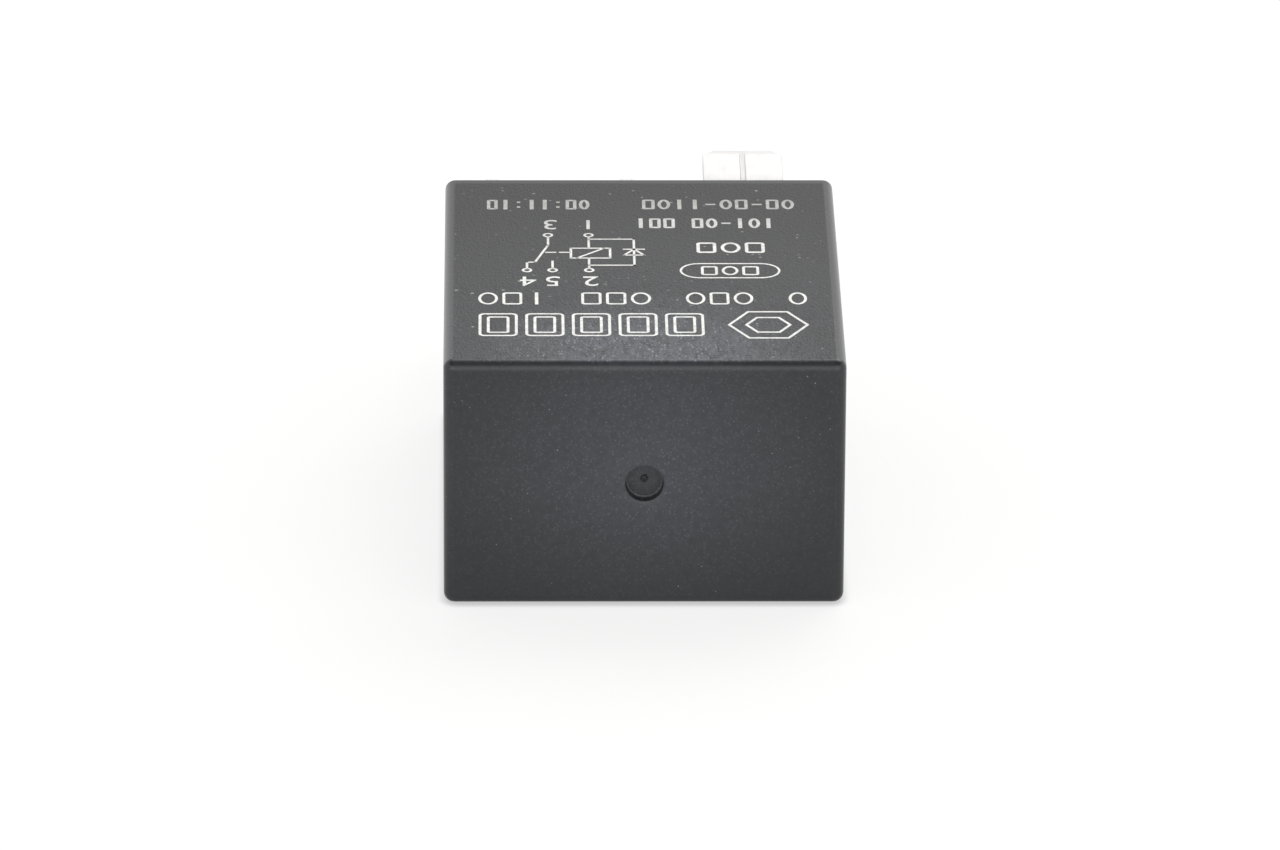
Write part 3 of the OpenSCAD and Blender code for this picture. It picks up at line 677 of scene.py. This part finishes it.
def diode_material(rgb):
    """Glossy moulded black with a pale band at the end beside blade 1."""
    tree, shader, place = new_material("diode_moulding")
    lo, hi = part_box("diode_body")
    height = axes(tree, place)["Z"]
    start, end = (hi.z - share * (hi.z - lo.z) for share in (0.32, 0.14))
    band = product(
        tree, maths(tree, "GREATER_THAN", height, start), maths(tree, "LESS_THAN", height, end)
    )
    mottle = use_group(tree, "soft_mottle", Vector=place, Scale=2000.0, Contrast=0.1)[0]
    moulding = mixed(tree, band, tinted(tree, rgb, mottle), (0.62, 0.63, 0.64))
    paint(tree, shader, moulding, spread(tree, band, 0, 1, 0.22, 0.45))


def make_materials(colours):
    """Makes the shared node groups and every material of the relay."""
    for make_group in (
        make_grain_group, make_edges_group, make_specks_group, make_mottle_group, make_rolled_group,
    ):
        make_group()
    along_blades = (14000.0, 500.0, 14000.0)
    across_strip = (500.0, 14000.0, 14000.0)
    even = (9000.0, 9000.0, 9000.0)
    cap_material(colours.cap)
    base_material(colours.base)
    mark_material(colours.marks)
    strip_material("tinned_blade", colours.tin, 0.36, along_blades)
    strip_material("plated_iron", colours.zinc, 0.42, along_blades, 0.1)
    strip_material("spring_bronze", colours.bronze, 0.3, across_strip, 0.1)
    strip_material("contact_silver", colours.silver, 0.28, even, 0.06)
    wire_material(colours.enamel)
    nylon_material(colours.nylon)
    diode_material(colours.diode)


# ---- cap ----


def make_gate(cap, sizes):
    """Lip, recess and broken gate in the middle of the closed end."""
    radius = sizes.gate_diameter / 2
    lip_top = CASE_LO.y
    foot = lip_top + sizes.gate_depth
    gate_z = CASE_MID.z + sizes.gate_rise
    sunk, over, mouth_over = 0.1 * MM, 0.2 * MM, 0.05 * MM

    mouth_radius = radius + sizes.mouth_width
    combine(cap, add_round(
        "lip", lip_top + (sizes.gate_lip + sunk) / 2, gate_z,
        mouth_radius + sizes.gate_lip_width * (1 + sunk / sizes.gate_lip), sizes.gate_lip + sunk,
        top=mouth_radius,
    ), "UNION")
    recess = add_round(
        "recess", lip_top + (sizes.gate_depth - over) / 2, gate_z, radius, sizes.gate_depth + over
    )
    bevel(recess, sizes.gate_round, 4, lies_at(Y, foot))
    combine(cap, recess, "DIFFERENCE")
    combine(cap, add_round(
        "mouth", lip_top + (sizes.mouth_depth - mouth_over) / 2, gate_z, radius,
        sizes.mouth_depth + mouth_over,
        top=radius + sizes.mouth_width * (1 + mouth_over / sizes.mouth_depth),
    ), "DIFFERENCE")

    stub = add_round(
        "stub", foot - sizes.stub_height / 2 + sunk / 2, gate_z + sizes.stub_rise,
        sizes.stub_diameter / 2, sizes.stub_height + sunk, 20, 0.3 * sizes.stub_diameter,
    )
    stub_top = foot - sizes.stub_height
    pick(stub, "FACE", lies_at(Y, stub_top))
    for _ in range(3):
        bpy.ops.mesh.inset(thickness=0.8 * sizes.stub_tear, depth=0)
    close_edit()
    pick(stub, "VERT", lambda vertex: near(vertex.co.y, stub_top))
    bpy.ops.transform.vertex_random(offset=sizes.stub_tear, uniform=1.0, normal=0.0, seed=4)
    close_edit()
    combine(cap, stub, "UNION")


def add_ribs(hollow, sizes):
    """Cuts the two ribs beside the yoke out of the hollow, so that the cap keeps them."""
    yoke_lo, yoke_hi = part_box("yoke")
    rib_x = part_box("contact_spring")[1].x - sizes.rib_back
    for side, edge_z in ((-1, yoke_lo.z - sizes.rib_gap), (1, yoke_hi.z + sizes.rib_gap)):
        outer = CASE_MID.z + side * (CASE_HI.z - CASE_LO.z)
        rib = add_block(
            "rib",
            (rib_x - sizes.rib_width / 2, CASE_LO.y, min(edge_z, outer)),
            (rib_x + sizes.rib_width / 2, SEAT_Y - sizes.rib_end, max(edge_z, outer)),
        )
        combine(hollow, rib, "DIFFERENCE")


def make_hollow(cap, sizes):
    """Hollow of the cap, with its lead-in, the pad behind the gate and the ribs."""
    wall, over = sizes.wall, 1 * MM
    inside_lo = Vector((CASE_LO.x + wall, CASE_LO.y + sizes.end_wall, CASE_LO.z + wall))
    inside_hi = Vector((CASE_HI.x - wall, CASE_HI.y + over, CASE_HI.z - wall))
    hollow = add_block("hollow", inside_lo, inside_hi)
    at_rim = lies_at(Y, inside_hi.y)
    bevel(hollow, sizes.inner_radius, 3, lambda edge: not at_rim(edge))
    pad = add_round(
        "pad", inside_lo.y + (sizes.gate_depth - over) / 2, CASE_MID.z,
        sizes.gate_diameter / 2 + sizes.gate_ring, sizes.gate_depth + over,
    )
    combine(hollow, pad, "DIFFERENCE")
    add_ribs(hollow, sizes)

    chamfer_y = CASE_HI.y - sizes.lead_in
    lead = add_block(
        "lead", (inside_lo.x - sizes.lead_in, chamfer_y, inside_lo.z - sizes.lead_in),
        (inside_hi.x + sizes.lead_in, CASE_HI.y + over, inside_hi.z + sizes.lead_in),
    )
    bevel(lead, sizes.lead_in * 0.98, 1, lies_at(Y, chamfer_y))
    combine(hollow, lead, "UNION")
    combine(cap, hollow, "DIFFERENCE")


def cut_windows(cap, sizes):
    """Snap windows in both side walls."""
    reach = 1.5 * sizes.wall
    start = CASE_HI.y - sizes.window_rim
    for wall_x in (CASE_LO.x, CASE_HI.x):
        window = add_block(
            "window",
            (wall_x - reach, start - sizes.window_length, CASE_MID.z - sizes.window_width / 2),
            (wall_x + reach, start, CASE_MID.z + sizes.window_width / 2),
        )
        bevel(
            window, sizes.window_radius, 3,
            lambda edge: near(abs(edge.verts[0].co.x - edge.verts[1].co.x), edge.calc_length()),
        )
        combine(cap, window, "DIFFERENCE")


class RELAY_OT_make_cap(Operator):
    """Makes the cap: rounded box, gate recess, hollow and snap windows"""

    bl_idname = "relay.make_cap"
    bl_label = "Make cap"

    def execute(self, context):
        sizes = context.scene.relay_case
        front = CASE_LO.y + sizes.gate_lip
        label = CASE_HI.z - sizes.label_drop
        cap = add_block("cap_shell", (CASE_LO.x, front, CASE_LO.z), (CASE_HI.x, CASE_HI.y, label))
        at_rim = lies_at(Y, CASE_HI.y)
        bevel(cap, sizes.edge_radius, 7, lambda edge: not at_rim(edge))
        bevel(cap, sizes.rim_break, 2, at_rim)
        make_gate(cap, sizes)
        make_hollow(cap, sizes)
        cut_windows(cap, sizes)
        weld(cap)
        smooth(cap)
        dress(cap, "cap_plastic", replaced=["cover"])
        return {"FINISHED"}


# ---- marks on the label face, placed in millimetres from the face's middle ----

# Rows of simple shapes: shapes, left, right, height above the middle, height of the shapes
SMALL_ROWS = (
    ("si:ii:so", -9.1, -2.9, 10.04, 1.5),
    ("soii-os-so", 0.05, 9.2, 10.07, 1.5),
    ("iss so-ioi", -0.4, 7.95, 7.11, 1.5),
    ("sos", 3.1, 7.35, 3.3, 1.6),
)
LONG_ROW = (
    ("osi", -9.65, -5.45, -4.47, 1.8),
    ("sso", -3.7, 0.6, -4.47, 1.8),
    ("oso", 2.35, 6.5, -4.47, 1.8),
    ("o", 8.3, 9.6, -4.47, 1.8),
)
PILL_ROW = (("sos", 3.32, 6.92, -0.24, 1.35),)
PILL_PLACE, PILL_SIZE = (5.12, -0.24), (5.87, 2.3)

# Five frames, one in another: first place, last place, then width, height and corner of each
FRAME_PLACES = ((-8.37, -8.41), (2.35, -8.41))
FRAME_COUNT = 5
FRAME_SIZES = ((2.25, 3.4, 0.35), (1.3, 2.45, 0.2))
HEXAGON_PLACE = (7.15, -8.44)
HEXAGON_SIZES = (4.7, 2.7)

# The circuit symbol: its posts, its numbers, its coil's box and its strokes
POST_RING = 0.62
POSTS = ((-5.45, 5.25), (-3.07, 5.25), (-6.69, -0.16), (-5.2, -0.16), (-3.07, -0.16))
NUMBERS = {
    "3": (-5.32, 6.97), "1": (-3.08, 6.98), "4": (-6.64, -1.77), "5": (-5.21, -1.77),
    "2": (-2.99, -1.76),
}
COIL_MIDDLE, COIL_SIZE = (-2.975, 2.46), (2.43, 1.66)
SYMBOL_STROKES = (
    ((-3.74, 1.73), (-2.21, 3.19)),  # across the coil
    ((-3.07, 4.94), (-3.07, 3.29)),  # from post 1 to the coil
    ((-3.07, 1.63), (-3.07, 0.15)),  # from the coil to post 2
    ((-3.07, 4.62), (-0.43, 4.62), (-0.43, 0.6), (-3.07, 0.6)),  # the diode's branch
    ((-1.01, 3.06), (0.15, 3.06)),  # the diode's bar
    ((-1.01, 2.16), (0.15, 2.16), (-0.43, 3.06), (-1.01, 2.16)),  # its triangle
    ((-5.45, 4.94), (-5.45, 3.69), (-6.22, 1.07), (-6.69, 1.07), (-6.69, 0.15)),  # 3 to 4
    ((-5.2, 1.2), (-5.2, 0.15)),  # the open contact, 5
    ((-5.55, 2.58), (-5.05, 2.58)),  # the dashed link to the coil
    ((-4.75, 2.58), (-4.19, 2.58)),
)


def label_place(x, y):
    """A place on the label face."""
    top = CASE_HI.z - bpy.context.scene.relay_case.label_drop
    return Vector((CASE_MID.x + x * MM, CASE_MID.y + y * MM, top))


def add_plane(x, y, width, height, turn=0.0):
    """A flat rectangle on the label face, sized in metres."""
    deselect_all()
    bpy.ops.mesh.primitive_plane_add(size=1, location=label_place(x, y), rotation=(0, 0, turn))
    bpy.context.object.scale = (width, height, 1)
    return named("mark")


def line(start, end, stroke):
    """A straight stroke with square ends."""
    run = Vector(end) - Vector(start)
    middle = (Vector(start) + Vector(end)) / 2
    return add_plane(*middle, run.length * MM + stroke, stroke, math.atan2(run.y, run.x))


def hollow_out(piece, stroke):
    """Leaves only the outline of a flat face."""
    pick(piece, "FACE", lambda face: True)
    bpy.ops.mesh.inset(thickness=stroke, depth=0)
    bpy.ops.mesh.delete(type="FACE")
    close_edit()
    return piece


def add_frame(x, y, width, height, corner, stroke):
    """Outline of a rounded rectangle."""
    piece = add_plane(x, y, width, height)
    bevel(piece, corner, 6, lambda vertex: True, "VERTICES")
    return hollow_out(piece, stroke)


def add_ring(x, y, width, height, stroke, sides=32, turn=0.0):
    """Outline of a circle, an oval or a regular polygon."""
    deselect_all()
    bpy.ops.mesh.primitive_circle_add(
        vertices=sides, radius=0.5, fill_type="NGON", location=label_place(x, y),
        rotation=(0, 0, turn),
    )
    bpy.context.object.scale = (width, height, 1)
    return hollow_out(named("mark"), stroke)


def thicken(name, pieces, step, material):
    """Joins flat pieces, gives them their thickness and finishes them."""
    marks = join(name, pieces)
    pick(marks, "FACE", lambda face: True)
    bpy.ops.mesh.normals_make_consistent(inside=False)
    bpy.ops.mesh.extrude_region_move(TRANSFORM_OT_translate={"value": step})
    bpy.ops.mesh.select_all(action="SELECT")
    bpy.ops.mesh.normals_make_consistent(inside=False)
    close_edit()
    dress(marks, material)


def raise_marks(name, pieces):
    """Gives marks on the label face their thickness."""
    thickness = bpy.context.scene.relay_print.thickness
    thicken(name, pieces, (0, 0, thickness), "burnt_marks")


def add_rows(rows, stroke):
    """Rows of simple shapes: o oval, s square, i bar, - dash, : two dots, space gap."""
    pieces = []
    for shapes, left, right, y, height in rows:
        pitch = (right - left) / len(shapes)
        width = 0.82 * pitch * MM
        for index, shape in enumerate(shapes):
            x = left + (index + 0.5) * pitch
            if shape == "o":
                pieces.append(add_ring(x, y, width, height * MM, stroke, 24))
            elif shape == "s":
                pieces.append(add_frame(x, y, width, height * MM, 0.2 * width, stroke))
            elif shape == "i":
                pieces.append(add_plane(x, y, 1.2 * stroke, height * MM))
            elif shape == "-":
                pieces.append(add_plane(x, y, 0.8 * width, stroke))
            elif shape == ":":
                for step in (-0.25, 0.25):
                    pieces.append(add_plane(x, y + step * height, stroke, stroke))
    return pieces


class RELAY_OT_make_rows(Operator):
    """Makes the rows of simple shapes and the large frames on the label face"""

    bl_idname = "relay.make_rows"
    bl_label = "Make rows of marks"

    def execute(self, context):
        sizes = context.scene.relay_print
        thin = sizes.frame_stroke
        raise_marks("print_rows", add_rows(SMALL_ROWS, sizes.bold_stroke))
        raise_marks("print_long_row", add_rows(LONG_ROW, thin))

        width, height = (side * MM for side in PILL_SIZE)
        pill = [add_frame(*PILL_PLACE, width, height, 0.499 * height, 0.8 * thin)]
        raise_marks("print_pill", pill + add_rows(PILL_ROW, thin))

        frames = []
        first, last = (Vector(place) for place in FRAME_PLACES)
        for index in range(FRAME_COUNT):
            place = first.lerp(last, index / (FRAME_COUNT - 1))
            for box in FRAME_SIZES:
                frames.append(add_frame(*place, *(side * MM for side in box), thin))
        raise_marks("print_frames", frames)

        hexagon = [
            add_ring(*HEXAGON_PLACE, size * MM, size * MM, thin, 6, QUARTER_TURN)
            for size in HEXAGON_SIZES
        ]
        raise_marks("print_hexagon", hexagon)
        return {"FINISHED"}


class RELAY_OT_make_symbol(Operator):
    """Makes the circuit symbol of a changeover relay, with its five plain numbers"""

    bl_idname = "relay.make_symbol"
    bl_label = "Make circuit symbol"

    def execute(self, context):
        sizes = context.scene.relay_print
        stroke = sizes.fine_stroke
        ring = POST_RING * MM
        marks = [add_ring(*place, ring, ring, stroke) for place in POSTS]
        width, height = (side * MM for side in COIL_SIZE)
        marks.append(add_frame(*COIL_MIDDLE, width, height, stroke / 4, stroke))
        for path in SYMBOL_STROKES:
            marks += [line(start, end, stroke) for start, end in zip(path, path[1:])]
        raise_marks("print_symbol", marks)

        numbers = [
            add_number(text, label_place(*place), sizes.number_height, (0, 0, HALF_TURN))
            for text, place in NUMBERS.items()
        ]
        raise_marks("print_numbers", numbers)
        return {"FINISHED"}


def add_number(text, place, height, turn):
    """A plain number as a flat mesh, centred on its place."""
    digit_height = 0.7
    deselect_all()
    bpy.ops.object.text_add()
    writing = bpy.context.object
    writing.data.body = text
    writing.data.align_x = writing.data.align_y = "CENTER"
    writing.data.size = height / digit_height
    writing.data.resolution_u = 4
    bpy.ops.object.convert(target="MESH")
    bpy.context.object.location = place
    bpy.context.object.rotation_euler = turn
    return named("number")


# ---- base and blades ----

class RELAY_OT_make_base(Operator):
    """Makes the base plate, with the blades' numbers raised on its underside"""

    bl_idname = "relay.make_base"
    bl_label = "Make base"

    def execute(self, context):
        base = copy_node("base", "base_plate", 0.06 * MM)
        dress(base, "base_plastic", replaced=["base"])
        height, raised = 1.3 * MM, 0.05 * MM
        beside_coil_blades, above_contact_blades = 3.4 * MM, 4.6 * MM
        numbers = []
        for text in "12345":
            lo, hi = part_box(f"terminal_{text}")
            x, z = blade_middle(f"terminal_{text}"), (lo.z + hi.z) / 2
            if text in "12":
                x -= beside_coil_blades
            else:
                z = CASE_MID.z + above_contact_blades
            turn = (-QUARTER_TURN, 0, HALF_TURN)
            numbers.append(add_number(text, (x, SEAT_Y, z), height, turn))
        thicken("base_numbers", numbers, (0, raised, 0), "base_plastic")
        return {"FINISHED"}


def blade_middle(node):
    """Middle of a blade across the case, at its tip."""
    tips = [v.co.x for v in NODES[node].data.vertices if v.co.y > CAD_BOX[1].y - 2 * MM]
    return (min(tips) + max(tips)) / 2


class RELAY_OT_make_blades(Operator):
    """Makes the five blades, with their punched edges broken"""

    bl_idname = "relay.make_blades"
    bl_label = "Make blades"

    def execute(self, context):
        for number in range(1, 6):
            node = f"terminal_{number}"
            blade = copy_node(node, f"blade_{number}", 0.05 * MM)
            dress(blade, "tinned_blade", replaced=[node])
        return {"FINISHED"}


# ---- works inside the case ----


class RELAY_OT_make_magnet(Operator):
    """Makes the yoke, the core, the armature and the coil"""

    bl_idname = "relay.make_magnet"
    bl_label = "Make magnet"

    def execute(self, context):
        yoke = copy_node("yoke", "yoke_frame", 0.05 * MM)
        dress(yoke, "plated_iron", replaced=["yoke"])
        plate = copy_node("armature", "armature_plate", 0.05 * MM)
        dress(plate, "plated_iron", SWINGING, ["armature"])
        finish_nodes("plated_iron", "core")
        finish_nodes("natural_nylon", "bobbin")
        finish_nodes("enamelled_wire", "coil_winding", "coil_lead_1", "coil_lead_2")
        return {"FINISHED"}


class RELAY_OT_make_contacts(Operator):
    """Makes the leaf spring, the contacts and the diode"""

    bl_idname = "relay.make_contacts"
    bl_label = "Make contacts"

    def execute(self, context):
        leaf = copy_node("contact_spring", "leaf_spring")
        set_material(leaf, "spring_bronze")
        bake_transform(leaf)
        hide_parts("contact_spring")
        finish_nodes("contact_silver", "moving_contact", "nc_contact", "no_contact")
        finish_nodes("diode_moulding", "diode_body")
        finish_nodes("tinned_blade", "diode_lead_1", "diode_lead_2")
        return {"FINISHED"}


def finish_nodes(name, *nodes):
    """Gives CAD nodes that stay their material."""
    material = MATERIALS[name]
    for node in nodes:
        target = NODES[node]
        if not target.data.materials:
            target.data.materials.append(material)
        for slot in target.material_slots:
            slot.material = material


# ---- stage ----


def floor_material(contact_reach):
    """White floor that keeps the case's soft shadow, and a painted shadow in the corner under it.
    Other rays than the camera's and reflections find a plain pale floor."""
    material = bpy.data.materials.new("pale_floor")
    material.use_nodes = True
    tree = material.node_tree
    tree.nodes.clear()
    path = add_node(tree, "LightPath").outputs
    reflected = maths(tree, "MAXIMUM", path["Is Glossy Ray"], path["Is Transmission Ray"])
    seen = maths(tree, "MAXIMUM", path["Is Camera Ray"], reflected)
    plain = add_node(tree, "BsdfDiffuse", {"Color": (0.8, 0.8, 0.8, 1)}).outputs[0]
    corner = add_node(
        tree, "AmbientOcclusion", {"Distance": contact_reach}, samples=8
    ).outputs["AO"]
    corner_glow, open_glow = 0.5, 0.775
    # Painted shadow: the glow dims where the ambient occlusion finds the case close by
    level = spread(tree, corner, 0.4, 0.95, corner_glow, open_glow)
    glow = add_node(tree, "Emission", {"Color": (1, 1, 1, 1), "Strength": level})
    lit = add_node(tree, "BsdfDiffuse", {"Color": (0.25, 0.25, 0.245, 1)})
    white = add_node(tree, "AddShader", {0: glow.outputs[0], 1: lit.outputs[0]})
    both = add_node(tree, "MixShader", {0: seen, 1: plain, 2: white.outputs[0]})
    add_node(tree, "OutputMaterial", {"Surface": both.outputs[0]})
    return material


def add_softbox(studio):
    """A square softbox above and behind the case, which faces it."""
    lamp = bpy.data.lights.new("overhead_softbox", "AREA")
    lamp.shape = "SQUARE"
    lamp.size = studio.lamp_side
    lamp.energy = studio.lamp_power
    box = add_object("overhead_softbox", lamp)
    box.location = (0.12, 0.3, 0.4)
    box.rotation_euler = (CASE_MID - box.location).to_track_quat("-Z", "Y").to_euler()


def make_world(studio):
    """A pale horizon, brighter in front, and a pale ceiling behind, with a dim zone between them.
    Each light's soft edge lies between two values of one part of the ray's direction."""
    world = bpy.data.worlds.new("studio")
    bpy.context.scene.world = world
    world.use_nodes = True
    tree = world.node_tree
    tree.nodes.clear()
    way = axes(tree, add_node(tree, "TexCoord").outputs["Generated"])
    boost = spread(tree, way["Y"], -0.9, -0.6, studio.horizon_boost, 1.0)
    horizon = product(tree, spread(tree, way["Z"], 0.6, 0.78, studio.horizon_light, 0.0), boost)
    ceiling = spread(tree, way["Y"], -0.05, 0.45, 0.0, studio.ceiling_light)
    level = maths(tree, "MAXIMUM", maths(tree, "MAXIMUM", horizon, ceiling), studio.room_light)
    light = add_node(tree, "Background", {"Color": (1, 1, 1, 1), "Strength": level})
    add_node(tree, "OutputWorld", {"Surface": light.outputs[0]})


def make_camera(studio):
    """The camera, from its angles and its distance to the aim."""
    height, turn, roll = studio.camera_height, studio.camera_turn, studio.camera_roll
    ahead = Vector((
        math.sin(turn) * math.cos(height), math.cos(turn) * math.cos(height), -math.sin(height),
    ))
    aim = Vector((studio.aim_side, 0, studio.aim_height))
    lens = bpy.data.cameras.new("camera")
    lens.lens = studio.focal_length
    lens.sensor_width = 36
    lens.clip_start = 0.01
    lens.clip_end = 10
    camera = add_object("camera", lens)
    camera.location = aim - studio.camera_distance * ahead
    camera.rotation_mode = "QUATERNION"
    camera.rotation_quaternion = ahead.to_track_quat("-Z", "Y") @ Quaternion((0, 0, 1), roll)
    bpy.context.scene.camera = camera


class RELAY_OT_make_stage(Operator):
    """Makes the floor, the lamp, the world and the camera"""

    bl_idname = "relay.make_stage"
    bl_label = "Make stage"

    def execute(self, context):
        studio = context.scene.relay_studio
        context.scene.view_settings.view_transform = "Standard"
        deselect_all()
        bpy.ops.mesh.primitive_plane_add(
            size=studio.floor_size, location=(0, 0, CASE_LO.z - studio.floor_drop)
        )
        floor = named("floor")
        floor.data.materials.append(floor_material(studio.contact_reach))
        add_softbox(studio)
        make_world(studio)
        make_camera(studio)
        return {"FINISHED"}


# ---- panel and registration ----


class RELAY_PT_build(Panel):
    """Lists the steps that make the relay"""

    bl_idname = "RELAY_PT_build"
    bl_label = "Plug-in relay"
    bl_space_type = "VIEW_3D"
    bl_region_type = "UI"
    bl_category = "Relay"

    def draw(self, context):
        for operator in STEPS:
            self.layout.operator(operator.bl_idname)
        for group in SETTINGS:
            box = self.layout.box()
            settings = getattr(context.scene, group)
            for name in settings.__annotations__:
                box.prop(settings, name)


STEPS = (
    RELAY_OT_make_stage, RELAY_OT_make_cap, RELAY_OT_make_rows, RELAY_OT_make_symbol,
    RELAY_OT_make_base, RELAY_OT_make_blades, RELAY_OT_make_magnet, RELAY_OT_make_contacts,
)
SETTINGS = {
    "relay_case": RelayCase, "relay_print": RelayPrint, "relay_colours": RelayColours,
    "relay_studio": RelayStudio,
}
CLASSES = (*SETTINGS.values(), *STEPS, RELAY_PT_build)


def register():
    """Registers the classes and the settings that the scene holds."""
    for item in CLASSES:
        bpy.utils.register_class(item)
    for name, group in SETTINGS.items():
        setattr(bpy.types.Scene, name, PointerProperty(type=group))


def unregister():
    """Takes the settings and the classes away again."""
    for name in SETTINGS:
        delattr(bpy.types.Scene, name)
    for item in reversed(CLASSES):
        bpy.utils.unregister_class(item)


def main():
    """Makes the relay."""
    register()
    make_materials(bpy.context.scene.relay_colours)
    bpy.ops.relay.make_stage()
    bpy.ops.relay.make_cap()
    bpy.ops.relay.make_rows()
    bpy.ops.relay.make_symbol()
    bpy.ops.relay.make_base()
    bpy.ops.relay.make_blades()
    bpy.ops.relay.make_magnet()
    bpy.ops.relay.make_contacts()


if __name__ == "__main__":
    main()
